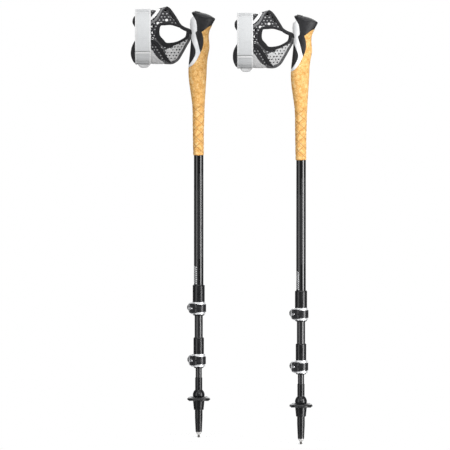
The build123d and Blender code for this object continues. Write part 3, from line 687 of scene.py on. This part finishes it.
def web_normals(flat, near):
    """Outward directions of the web's cloth at side-view points."""
    step, steepest = 0.5, 1.3
    out = []
    for x, z in flat:
        dx = (web_depth(x + step, z) - web_depth(x - step, z)) / (2 * step)
        dz = (web_depth(x, z + step) - web_depth(x, z - step)) / (2 * step)
        dx, dz = np.clip((dx, dz), -steepest, steepest)
        normal = np.array([-dx, -1.0 if near else 1.0, -dz])
        out.append(normal / np.linalg.norm(normal))
    return out


def oval_points(angles, grow):
    """Points round the wrist oval; angle 0 is the top and 90 degrees the near side."""
    wobble = 0.5 * np.sin(3 * angles + 0.7)
    y = -np.sin(angles) * (WRIST_DEPTH + grow + wobble)
    z = WRIST_CENTRE + np.cos(angles) * (WRIST_HEIGHT + grow)
    return y, z


def on_oval(degrees, grow, x):
    """Points on the wrist oval at each angle and at x, with the outward direction at each."""
    angles = np.radians(degrees)
    points = np.column_stack([np.full(len(angles), x), *oval_points(angles, grow)])
    y, z = -np.sin(angles) / WRIST_DEPTH, np.cos(angles) / WRIST_HEIGHT
    size = np.hypot(y, z)
    return points, np.column_stack([np.zeros(len(angles)), y / size, z / size])


def band_strip(start, end, grow, width, thickness, material, closed=False):
    """A tape that follows the wrist oval between two angles in degrees."""
    steps = max(8, int(abs(end - start) / 3))
    degrees = np.linspace(start, end, steps, endpoint=not closed)
    return sweep(*on_oval(degrees, grow, BAND_MIDDLE), rounded_profile(width, thickness), material, closed)


# ==== wrist band
BAND_X = (FLAP_LOW.x, FLAP_HIGH.x + 1.0)
BAND_MIDDLE, BAND_WIDTH = sum(BAND_X) / 2, BAND_X[1] - BAND_X[0]
BAND_SEAMS = (BAND_X[0] + 2.4, BAND_X[1] - 2.4)
STITCH_PITCH, STITCH_LENGTH, STITCH_R = 2.6, 1.7, 0.28
ROLLS = ((646.5, 22.5, 9.2), (702.0, 10.5, 6.4))  # the lining's rolls: middle, reach, most


def stitch_row(path, normals, material="stitch"):
    """Short thread stitches lying along a path."""
    lengths = run_lengths(path)
    profile = crowned_profile(2 * STITCH_R, 2 * STITCH_R, 3)
    parts = []
    for start in np.arange(STITCH_PITCH / 2, lengths[-1] - STITCH_LENGTH, STITCH_PITCH):
        spots = np.linspace(start, start + STITCH_LENGTH, 5)
        line, up = (np.column_stack([np.interp(spots, lengths, row) for row in rows.T])
                    for rows in (path, normals))
        line += up * (np.array([-0.5, 0.5, 0.8, 0.5, -0.5]) * STITCH_R)[:, None]
        parts.append(sweep(line, up, profile, material, widths=[0.5, 1, 1, 1, 0.5]))
    return joined(parts)


def across_band(degrees, grow):
    """A line across the webbing at one angle, with its normals."""
    return on_oval([degrees] * 12, grow, np.linspace(BAND_X[0] + 2.2, BAND_X[1] - 2.2, 12))


def along_band(start, end, grow, x):
    """A line along the webbing between two angles in degrees, with its normals."""
    return on_oval(np.linspace(start, end, max(6, int(abs(end - start)))), grow, x)


def angle_at(z, grow):
    """The near-side angle at which the oval passes a height."""
    return math.degrees(math.acos((z - WRIST_CENTRE) / (WRIST_HEIGHT + grow)))


def swollen(z, middle, reach, most):
    """How far a soft roll centred on one height stands out, falling to nothing at its two ends."""
    off = abs(z - middle) / reach
    return most * math.cos(math.pi / 2 * off) ** 0.8 if off < 1 else 0.0


def lining_mesh():
    """The padded lining: a soft ring whose outer edge swells out past the webbing in two rolls."""
    angles = np.radians(np.linspace(0, 360, 144, endpoint=False))
    steps = 10
    halves = [(1, k / steps) for k in range(steps + 1)]
    halves += [(-1, 1 - k / steps) for k in range(1, steps)]
    points = []
    right = BAND_X[1] - 0.6
    for a in angles:
        height = oval_points(a, 0)[1]
        left = BAND_X[0] + 2.0 - sum(swollen(height, *roll) for roll in ROLLS)
        pucker = 0.18 * math.sin(46 * a)
        for side, s in halves:
            x = left + (right - left) * s
            puff = math.sin(math.pi * s) ** 0.45
            beyond = min(max((BAND_X[0] + 1.5 - x) / 4, 0), 1)
            mid = -WEBBING - LINING / 2 - 0.1 + 1.6 * beyond
            half = (LINING / 2 + 0.7 * beyond + pucker * s) * puff
            points.append((x, *oval_points(a, mid + side * half)))
    return new_mesh(points, ring_faces(len(angles), 2 * steps), "lining_cloth")


def pull_tab_mesh():
    """The rounded tab of doubled cloth below the band."""
    half_width, drop = 10.0, 7.2
    bottom = WRIST_CENTRE - WRIST_HEIGHT
    columns, rows = 24, 6
    row = columns + 1
    points = []
    for side in (-1, 1):
        for v in np.arange(rows + 1) / rows:
            for u in np.arange(-columns, columns + 1, 2) / columns:
                z = bottom + 1.6 - drop * v * math.sqrt(1 - abs(u) ** 2.6)
                y = -3.0 + side * (0.25 + math.sqrt(1 - max(abs(u), v) ** 6))
                points.append((BAND_MIDDLE + 1.8 + half_width * u, y, z))
    sheet = row * (rows + 1)
    faces = grid_faces(rows, columns)
    faces += [tuple(sheet + k for k in face) for face in faces]
    border = [r * row for r in range(rows + 1)] + [rows * row + c for c in range(1, row)]
    border += [r * row + columns for r in reversed(range(rows))] + list(reversed(range(1, columns)))
    for a, b in zip(border, border[1:] + border[:1]):
        faces.append((a, b, sheet + b, sheet + a))
    return new_mesh(points, faces, "grey_cloth")


def build_wrist_band():
    """The grey webbing ring, its soft lining, the tab under it and its stitching."""
    webbing = band_strip(0, 360, -WEBBING / 2, BAND_WIDTH, WEBBING, "grey_webbing", closed=True)
    place("wrist_webbing", webbing, "strap", "wrist_band")
    place("wrist_lining", lining_mesh(), "strap")
    place("pull_tab", pull_tab_mesh(), "strap")
    rows = [stitch_row(*across_band(angle_at(z, 0), 0.1), "dark_stitch") for z in (634.5, 629.5)]
    rows += [stitch_row(*along_band(angle_at(640, 0), 300, 0.1, x)) for x in BAND_SEAMS]
    place("band_stitching", joined(rows), "strap")


def build_flap():
    """The closure strap over the webbing, ending in a dark strip set back under its end, which is a painted
    shadow of the gap there, and a turned-up lip whose pale tone is a painted highlight.
    """
    thickness = 1.5
    grow = 0.2 + thickness / 2
    start = angle_at(FLAP_HIGH.z - 1.6, grow)
    end = angle_at(FLAP_LOW.z + 1.2, grow)
    groove = end - 3.0
    cloth = band_strip(start, groove, grow, BAND_WIDTH, thickness, "grey_webbing")
    # The dark strip set back under the flap's end is a painted shadow of the gap there.
    gap_shadow = band_strip(groove - 1, end, grow - 0.35, BAND_WIDTH - 1.0, 0.7, "seam_thread")
    # The lip's pale tone is a painted highlight on the rolled edge that catches the light.
    highlight_lip = band_strip(end - 1.3, end + 0.9, grow + 0.45, BAND_WIDTH, thickness + 0.6, "pale_edge")
    place("flap_webbing", joined([cloth, gap_shadow, highlight_lip]), "flap", "closure_flap")
    top = grow + thickness / 2 + 0.05
    rows = [stitch_row(*across_band(start + 4, top))]
    rows += [stitch_row(*along_band(start + 4, end - 8, top, x)) for x in BAND_SEAMS]
    place("flap_stitching", joined(rows), "flap")


# ==== thumb web
UPPER_LEFT = [(-83, 696.5), (-73.4, 702.9), (-68.4, 709.6), (-65, 716.4), (-60, 721.6)]
UPPER_RIGHT = [
    (-54, 723), (-48.3, 719.5), (-41.5, 710.6), (-34.8, 700), (-30, 692.5), (-23, 688.3),
    (-13.8, 685), (-12.2, 679.5),
]
LOWER_RIGHT = [
    (-14, 669.5), (-20.2, 657.8), (-27, 645), (-33, 635), (-39.4, 629.4), (-46.4, 627),
    (-57, 627.4),
]
THUMB_HOLE = [
    (-63.6, 692), (-56, 692.9), (-46, 693), (-35, 689.4), (-26, 685.6), (-19.2, 681),
    (-21, 674), (-32.5, 666.2), (-44.6, 662.8), (-54.6, 663.2), (-59.2, 668.6), (-64.8, 675.5),
    (-65.8, 684),
]
FINGER_HOLE = [
    (-72, 698), (-64, 706), (-57, 715), (-49, 709), (-40, 696), (-30, 687.5),
    (-20.5, 682.5), (-23, 671), (-36, 661), (-50, 656.5), (-62, 660), (-71, 670),
    (-74, 684),
]
THUMB_SPREAD = [2.4, 1.8, 1.6, 1.6, 1.6, 2.2, 1.6, 1.8, 2.0, 3.2, 4.0, 3.6, 2.6]
THUMB_WIDTHS = [1.2, 1.0, 0.9, 0.9, 1.0, 1.1, 1.0, 1.0, 1.2, 1.7, 2.0, 1.8, 1.3, 1.2]
V_BINDING = [
    (-82.5, 667.5), (-75.6, 665), (-69.8, 660.5), (-64.6, 653.5), (-59.4, 644.5), (-53.2, 634.5),
    (-47.4, 629.4),
]
STRIP_EDGE = [(-82.5, 701.6), (-77.5, 705.6), (-72.5, 710.8), (-69, 715.6), (-66.5, 719)]
EYELET_ROWS = [
    [(-78, 692), (-70, 696.2), (-63.3, 698.7), (-55.5, 699.4)],
    [(-54, 717), (-50.5, 712.5), (-46, 706.5)],
    [(-76.5, 690), (-78.5, 681), (-75.5, 671.5)],
    [(-61, 656.5), (-50, 655.5)],
]
CLOTH_TOP = [(-83, 655.5), (-76.8, 649.5), (-70.1, 639.7), (-63.3, 632.8), (-54, 628.4)]
CLOTH_BOTTOM = [(-83, 628.2), (-76, 626.8), (-66, 626.8), (-54, 627.2)]
FAR_EDGE = [(-55, 629), (-63, 628.4), (-73, 628.4), (-82.5, 629.4)]
CELL, HOLE_R, EYELET_REACH = 5.9, 1.85, 3.1
MESH_THICKNESS, DIMPLE = 1.1, 0.45
AROUND = 12  # points round a cell and round its hole
TURNS = [(math.cos(a), math.sin(a)) for a in (math.radians(30 * k + 30) for k in range(AROUND))]


def perforated(outline, openings, near, material, ground, rows=(), cell=CELL, hole=HOLE_R,
               stretch=(1.2, 0.95), lean=0.0):
    """Spacer mesh over the web's curve: hexagon cells, each with a dimple onto a ground: a grey cloth under
    the dark mesh, and under the pale mesh a near-black painted shadow.

    Cells near the rows are open eyelets, and cells without room beside an edge stay plain.
    """
    outline, openings = np.array(outline), [np.array(opening) for opening in openings]
    low, high = outline.min(0), outline.max(0)
    radius, pitch = cell / math.sqrt(3), cell * math.sqrt(3) / 2
    corners, points, lifts, faces, grounds = {}, [], [], [], set()

    def add(spot, lift=0.0):
        points.append(spot)
        lifts.append(lift)
        return len(points) - 1

    def corner(x, z):
        key = (round(x, 2), round(z, 2))
        if key not in corners:
            spot = np.array([x, z])
            if not inside(spot, outline):
                spot = onto(spot, outline)
            for opening in openings:
                if inside(spot, opening):
                    spot = onto(spot, opening)
            corners[key] = add(spot)
        return corners[key]

    def circle(centre, size, lift=0.0):
        ring = []
        for c, s in TURNS:
            along, across = stretch[0] * c, stretch[1] * s
            x = along * math.cos(lean) - across * math.sin(lean)
            z = along * math.sin(lean) + across * math.cos(lean)
            ring.append(add(centre + size * np.array([x, z]), lift))
        return ring

    def cell_border(x, z):
        reaches = (radius, radius * math.cos(math.pi / 6)) * (AROUND // 2)
        return [corner(x + reach * c, z + reach * s) for reach, (c, s) in zip(reaches, TURNS)]

    def join_rings(outer, inner):
        for k in range(AROUND):
            m = (k + 1) % AROUND
            faces.append((outer[k], outer[m], inner[m], inner[k]))

    for row in range(int((high[1] - low[1]) / pitch) + 2):
        for column in range(int((high[0] - low[0]) / cell) + 2):
            x = low[0] + (column + (row % 2) / 2) * cell
            z = low[1] + row * pitch
            centre = np.array([x, z])
            if not inside(centre, outline) or any(inside(centre, opening) for opening in openings):
                continue
            border = cell_border(x, z)
            spot = centre + (0.3 * math.sin(x * 1.7 + z * 0.9), 0)
            size = hole + 0.2 * math.sin(x * 0.8 - z * 1.3)
            through = any(np.hypot(*(np.array(line) - centre).T).min() < EYELET_REACH for line in rows)
            room = min(np.hypot(*(onto(centre, edge) - centre)) for edge in [outline, *openings])
            if room < 1.15 * size + 0.4:
                middle = circle(centre, 0.4 * min(room, size))
                join_rings(border, middle)
                faces.append(tuple(middle))
                continue
            rim = circle(spot, size * (1.12 if through else 1.0))
            join_rings(border, rim)
            if not through:
                floor = circle(spot, size * 0.88, -DIMPLE)
                join_rings(rim, floor)
                faces.append(tuple(floor))
                grounds.add(floor[0])
    faces = [face for face in faces if len(set(face)) == len(face)]
    sheet = new_mesh(web_points(points, near, np.array(lifts)), faces, material)
    sheet.materials.append(MATERIAL[ground])
    for face in sheet.polygons:
        is_ground = len(face.vertices) == AROUND and not grounds.isdisjoint(face.vertices)
        face.material_index = int(is_ground)
    return thickened(sheet, MESH_THICKNESS)


def cloth_sheet(first, second, material, lift, thickness):
    """A plain cloth panel over the web's near side between two side-view edges."""
    columns, rows = 18, 14
    edges = [smooth_curve(edge, 6) for edge in (first, second)]
    grid = []
    for c in range(columns + 1):
        a, b = (np.array([np.interp(c / columns, np.linspace(0, 1, len(edge)), edge[:, k]) for k in (0, 1)])
                for edge in edges)
        grid += [a + (b - a) * r / rows for r in range(rows + 1)]
    return thickened(new_mesh(web_points(grid, True, lift), grid_faces(columns, rows), material), thickness)


def web_tape(line, near, width, thickness, material, lift, closed=False, widths=(1, 1)):
    """A binding tape laid along a side-view line on the web's cloth; widths scale it along the line."""
    flat = smooth_curve(line, 8, closed)
    scale = np.interp(np.linspace(0, 1, len(flat)), np.linspace(0, 1, len(widths)), widths)
    profile = crowned_profile(width, thickness)
    return sweep(web_points(flat, near, lift), web_normals(flat, near), profile, material, closed, scale)


def inset(line, amount):
    """An open side-view line moved to its right-hand side by an amount in millimetres."""
    pts = np.array(line, float)
    ahead = np.gradient(pts, axis=0)
    right = np.column_stack([ahead[:, 1], -ahead[:, 0]])
    return pts + right / np.linalg.norm(right, axis=1)[:, None] * amount


def edge_binding(line, width, thickness, material):
    """A folded edge binding: half on the near cloth, half on the far cloth, and the fold between them."""
    middle = inset(line, width * 0.42)
    parts = [web_tape(middle, near, width, thickness, material, 0.9) for near in (True, False)]
    flat = smooth_curve(inset(line, 1.0), 8)
    path = np.column_stack([flat[:, 0], np.zeros(len(flat)), flat[:, 1] + web_rise(flat[:, 0])])
    parts.append(sweep(path, np.tile([0.0, -1.0, 0.0], (len(flat), 1)), crowned_profile(3.8, 3.4), material))
    return joined(parts)


def grown(outline, amount):
    """A closed outline moved outwards by an amount that may differ at each point."""
    pts = np.array(outline, float)
    centre = pts.mean(0)
    ahead = np.roll(pts, -1, 0) - np.roll(pts, 1, 0)
    normal = np.column_stack([ahead[:, 1], -ahead[:, 0]])
    normal /= np.linalg.norm(normal, axis=1)[:, None]
    flip = np.sign(((pts - centre) * normal).sum(1))
    return pts + normal * flip[:, None] * np.array(amount)[..., None]


def web_panels():
    """Side-view outlines of the web's cloth panels."""
    v_line = [tuple(point) for point in smooth_curve(V_BINDING, 5)]
    under_hole = [(-62.6, 650.5), (-55, 651), (-47, 655), (-38, 661.5), (-28, 668),
                  (-14, 672)]
    low_end = [(-54, 627.3), (-57, 628), (-63.3, 634), (-70.1, 640.8), (-76.8, 650.8), (-83, 657)]
    far_top = [(-83, 711.5), (-75, 716.5), (-60, 721.6)]
    return {
        "upper": UPPER_LEFT + UPPER_RIGHT + under_hole[::-1] + v_line[17::-1] + [(-83, 668.5)],
        "under": under_hole + LOWER_RIGHT[:-1] + v_line[:17:-1],
        "low": v_line + low_end,
        "far": far_top + UPPER_RIGHT + LOWER_RIGHT + [(-83, 628)],
        "corner": [(-83, 717.5), (-77, 718.2), (-70.5, 719.4), (-75.5, 711.5), (-80.5, 706),
                   (-83, 704)],
    }


def build_web():
    """The thumb web: its perforated panels, the plain cloth under them and its bindings."""
    thumb, finger = (smooth_curve(hole, 5, True) for hole in (THUMB_HOLE, FINGER_HOLE))
    panel = web_panels()
    dark = ("strap_mesh", "mesh_ground")
    pale = ("pale_mesh", "mesh_shadow")
    far_rows = [[(x, z - 2.8) for x, z in row] for row in EYELET_ROWS]
    meshes = {
        "near": perforated(panel["upper"], [thumb], True, *dark, EYELET_ROWS),
        "under": perforated(panel["under"], [thumb], True, *pale, cell=5.6, hole=1.9,
                            stretch=(1.25, 0.95), lean=math.radians(25)),
        "low": perforated(panel["low"], [], True, *dark, cell=5.6, hole=1.7),
        "far": perforated(panel["far"], [finger], False, *dark, far_rows, hole=2.1),
        "corner": perforated(panel["corner"], [], True, *dark, cell=4.4, hole=1.1),
    }
    for name, mesh in meshes.items():
        place(f"web_mesh_{name}", mesh, "strap", "thumb_web" if name == "near" else None)
    cloth = cloth_sheet(CLOTH_TOP, CLOTH_BOTTOM, "grey_cloth", -0.3, 1.2)
    place("web_cloth_low", cloth, "strap")
    black, mottled = "strap_binding", "mottled_binding"
    round_thumb = grown(THUMB_HOLE, THUMB_SPREAD)
    round_finger = grown(FINGER_HOLE, [1.6] * len(FINGER_HOLE))
    left_edge = inset(UPPER_LEFT + UPPER_RIGHT[:1], 1.5)
    bindings = {
        "thumb": web_tape(round_thumb, True, 4.6, 2.6, black, 0.6, closed=True, widths=THUMB_WIDTHS),
        "finger": web_tape(round_finger, False, 4.6, 2.4, black, 0.6, closed=True),
        "far": web_tape(FAR_EDGE, False, 3.8, 2.0, black, 0.8),
        "v": web_tape(V_BINDING, True, 6.0, 2.6, black, 1.0, widths=[1, 1, 1, 1, 1, 1, 1, 0.9, 0.5]),
        "inner": web_tape(inset(V_BINDING, -4.6)[:5], True, 2.4, 1.4, mottled, 0.6),
        "top": edge_binding(UPPER_RIGHT, 6.0, 2.4, black),
        "edge": edge_binding(UPPER_RIGHT[-1:] + LOWER_RIGHT, 5.2, 2.2, mottled),
        "left": web_tape(left_edge, True, 3.5, 2.0, "pale_binding", 0.8),
    }
    for name, tape in bindings.items():
        place(f"web_binding_{name}", tape, "strap")
    strip = web_tape(STRIP_EDGE, True, 5.0, 1.4, "pale_edge", 0.3)
    place("web_strip_pale", strip, "strap")


# ==== cord loop and eye
def cord_mesh(centre, loop_r, cord_r):
    """A closed loop of braided cord lying flat."""
    steps, ring, girth = 96, 14, 7.5
    points, uv = [], []
    for i in range(steps):
        a = 2 * math.pi * i / steps
        u = [2 * math.pi * loop_r * n / steps for n in (i, i + 1)]
        for k in range(ring):
            b = 2 * math.pi * k / ring
            braid = 0.9 + 0.1 * abs(math.sin(12 * a + 2 * b)) + 0.05 * math.sin(12 * a - 2 * b)
            r = loop_r + cord_r * braid * math.cos(b)
            points.append((centre.x + r * math.cos(a), centre.y + r * math.sin(a),
                           centre.z + cord_r * braid * math.sin(b)))
            v = [girth * n / ring for n in (k, k + 1)]
            uv += [(u[0], v[0]), (u[0], v[1]), (u[1], v[1]), (u[1], v[0])]
    return new_mesh(points, ring_faces(steps, ring), "strap_binding", uv)


def build_cord():
    """The braided cord loop round the catch pin, and the stitched eye that ties the web to it."""
    centre = (CORD_LOW + CORD_HIGH) / 2
    cord_r = (CORD_HIGH.z - CORD_LOW.z) / 2
    loop_r = (CORD_HIGH.x - CORD_LOW.x) / 2 - cord_r
    place("cord_loop", cord_mesh(centre, loop_r, cord_r), "cord", "strap_loop")
    eye_x = CORD_LOW.x + cord_r
    normals = [(math.cos(a), 0, math.sin(a)) for a in np.radians(np.linspace(-150, 150, 25))]
    path = [(eye_x + 2.0 * x, 0.0, centre.z + 2.0 * z) for x, _, z in normals]
    path = [(eye_x - 5.5, 0.0, centre.z - 1.4), *path, (eye_x - 5.5, 0.0, centre.z + 1.4)]
    normals = [(-0.3, 0, -1.0), *normals, (-0.3, 0, 1.0)]
    place("strap_eye", sweep(path, normals, rounded_profile(3.4, 0.7, 2), "strap_binding"),
          "strap")


# ==== shaft and clamps
CAD_SLOTS = {row["node"]: row["material_slot"] for row in frame["record"]["subparts"]}
BEVELLED = ("clamp_sleeve", "clamp_band", "clamp_lever", "tension_screw", "flex_tip", "basket", "carbide_tip",
            "upper_tube", "middle_tube", "lower_tube", "barrel_nut")


def dress_cad_nodes():
    """Gives every CAD node its finish, and takes the sharpness off the edges of the ones that show."""
    for name, node in frame["nodes"].items():
        finish = CAD_SLOTS[name]
        # The levers get the lighter black plastic, whose extra lightness is a painted highlight.
        if name.endswith("clamp_lever"):
            finish = "lever_plastic_highlit"
        if name.endswith("upper_tube"):
            finish = name.split("_")[0] + "_print"
        node.data.materials.clear()
        node.data.materials.append(MATERIAL[finish])
        if name.endswith(BEVELLED):
            bevel = node.modifiers.new("soft_edges", "BEVEL")
            bevel.width = 0.3 * MM
            bevel.segments = 2
            bevel.limit_method = "ANGLE"
            bevel.angle_limit = math.radians(40)


BAR_HEIGHT, BAR_PITCH, BAR_SLANT = 1.9, 3.4, 0.5
BAR_SPAN, FIRST_BAR, NEXT_BAR = 15.0, 34.0, 22.0  # degrees round the tube


def hatch_bar(middle, low):
    """One thin printed bar wrapped round the tube, centred on an angle in degrees."""
    inner = (TUBE_HIGH.x - TUBE_LOW.x) / 2 + 0.03
    outer, high = inner + 0.05, low + BAR_HEIGHT
    steps = 5
    points = []
    for i in range(steps + 1):
        share = i / steps - 0.5
        angle = math.radians(middle + BAR_SPAN * share)
        for radius, z in ((inner, low), (inner, high), (outer, high), (outer, low)):
            points.append((-radius * math.sin(angle), -radius * math.cos(angle), z + BAR_SLANT * share))
    ends = [(3, 2, 1, 0), tuple(range(4 * steps, 4 * steps + 4))]
    return new_mesh(points, ring_faces(steps + 1, 4, closed=False) + ends, "white_print")


def build_hatch():
    """A printed checker of short bars low on the upper tube, on the strap side."""
    bars = []
    for column in range(5):
        for row in range(9):
            low = SLEEVE_TOP + 1.4 + BAR_PITCH * (row + (0.5 if column % 2 else 0))
            bars.append(hatch_bar(FIRST_BAR + NEXT_BAR * column, low))
    place("tube_hatch", joined(bars), "upper_shaft")


# ==== stage, light and camera
PHOTO_SPAN = 756.0
PHOTO_CENTRE = (44.2, 357.6)
CAMERA_ELEVATION = 4.0
LENS, SENSOR = 800.0, 36.0
FLOOR_FADE = (15 * MM, 80 * MM)


def build_stage():
    """A patch of white floor round each pole's point, faded out before it hides anything."""
    floor_z = min(origin.z for origin in ORIGIN.values()) - 0.4 * MM
    centre = sum(ORIGIN.values(), Vector()) / 2
    shape = bmesh.new()
    bmesh.ops.create_circle(shape, cap_ends=True, segments=96, radius=1.4)
    mesh = bpy.data.meshes.new("floor")
    shape.to_mesh(mesh)
    shape.free()
    floor = linked("floor", mesh)
    floor.location = (centre.x, centre.y, floor_z)
    p = Paint("floor")
    x, y, _ = p.split(p.at())
    reaches = []
    for origin in ORIGIN.values():
        dx, dy = p.calc("SUBTRACT", x, origin.x - centre.x), p.calc("SUBTRACT", y, origin.y - centre.y)
        reaches.append(p.calc("POWER", p.plus(p.times(dx, dx), p.times(dy, dy)), 0.5))
    distance = p.calc("MINIMUM", *reaches)
    alpha = p.range(distance, *FLOOR_FADE, 1.0, 0.0)
    tone = p.mix(p.noise(40, 2), (0.93, 0.93, 0.93), (0.96, 0.96, 0.96))
    glow = dict(Emission_Color=(1.0, 1.0, 1.0, 1.0), Emission_Strength=0.16)
    mesh.materials.append(p.done(tone, 0.8, p.bump(p.noise(3, 3), 0.1, 0.2), Alpha=alpha, **glow))


def build_world():
    """White to the camera, a soft grey room to everything else."""
    world = bpy.data.worlds.new("room")
    bpy.context.scene.world = world
    world.use_nodes = True
    nodes, links = world.node_tree.nodes, world.node_tree.links
    choose = nodes.new("ShaderNodeMixShader")
    room, seen = nodes["Background"], nodes.new("ShaderNodeBackground")
    looks = ((room, (0.95, 0.97, 1.0, 1.0), 0.20), (seen, (1.0, 1.0, 1.0, 1.0), 1.0))
    for socket, (ground, color, strength) in zip(choose.inputs[1:], looks):
        ground.inputs["Color"].default_value = color
        ground.inputs["Strength"].default_value = strength
        links.new(ground.outputs[0], socket)
    path = nodes.new("ShaderNodeLightPath")
    links.new(path.outputs["Is Camera Ray"], choose.inputs[0])
    links.new(choose.outputs[0], nodes["World Output"].inputs["Surface"])
    bpy.context.scene.view_settings.view_transform = "Standard"


def aimed(name, data, azimuth, elevation, distance, target):
    """A light or camera that looks at a target from a distance; azimuth 0 is the camera's side."""
    item = linked(name, data)
    a, e = math.radians(azimuth), math.radians(elevation)
    back = Vector((math.sin(a) * math.cos(e), -math.cos(a) * math.cos(e), math.sin(e)))
    item.location = target + back * distance
    item.rotation_euler = (-back).to_track_quat("-Z", "Y").to_euler()
    return item


def soft_light(name, azimuth, elevation, distance, width, height, power, diffuse=True, glossy=True):
    """A rectangular studio light aimed at the middle of the poles.

    One that is not diffuse is a card seen only in gloss; one that is not glossy leaves no reflection.
    """
    data = bpy.data.lights.new(name, "AREA")
    data.shape = "RECTANGLE"
    data.size, data.size_y, data.energy = width, height, power
    light = aimed(name, data, azimuth, elevation, distance, (CAD_BOX[0] + CAD_BOX[1]) / 2)
    light.visible_diffuse, light.visible_glossy = diffuse, glossy


def build_lights():
    soft_light("broad_left", -50, 10, 2.2, 1.2, 2.4, 18)
    soft_light("right_fill", 41, 8, 2.4, 0.9, 2.4, 55, glossy=False)
    soft_light("right_card", 56, 0, 2.0, 0.8, 2.4, 60, diffuse=False)
    soft_light("top", 0, 80, 2.2, 2.0, 2.0, 26)
    soft_light("front_fill", 12, 24, 3.0, 1.6, 1.6, 30)
    soft_light("back", 180, 25, 2.6, 2.2, 2.0, 34)


def build_camera():
    """A long lens at the photo's height, framed on the photo's centre."""
    data = bpy.data.cameras.new("camera")
    data.lens, data.sensor_width = LENS, SENSOR
    data.clip_start, data.clip_end = 0.1, 100
    target = ORIGIN["left"] + Vector((PHOTO_CENTRE[0], 0, PHOTO_CENTRE[1])) * MM
    distance = PHOTO_SPAN * MM * LENS / SENSOR
    bpy.context.scene.camera = aimed("camera", data, 0, CAMERA_ELEVATION, distance, target)


dress_cad_nodes()
build_grip()
build_wrist_band()
build_flap()
build_web()
build_cord()
build_hatch()
build_stage()
build_world()
build_lights()
build_camera()
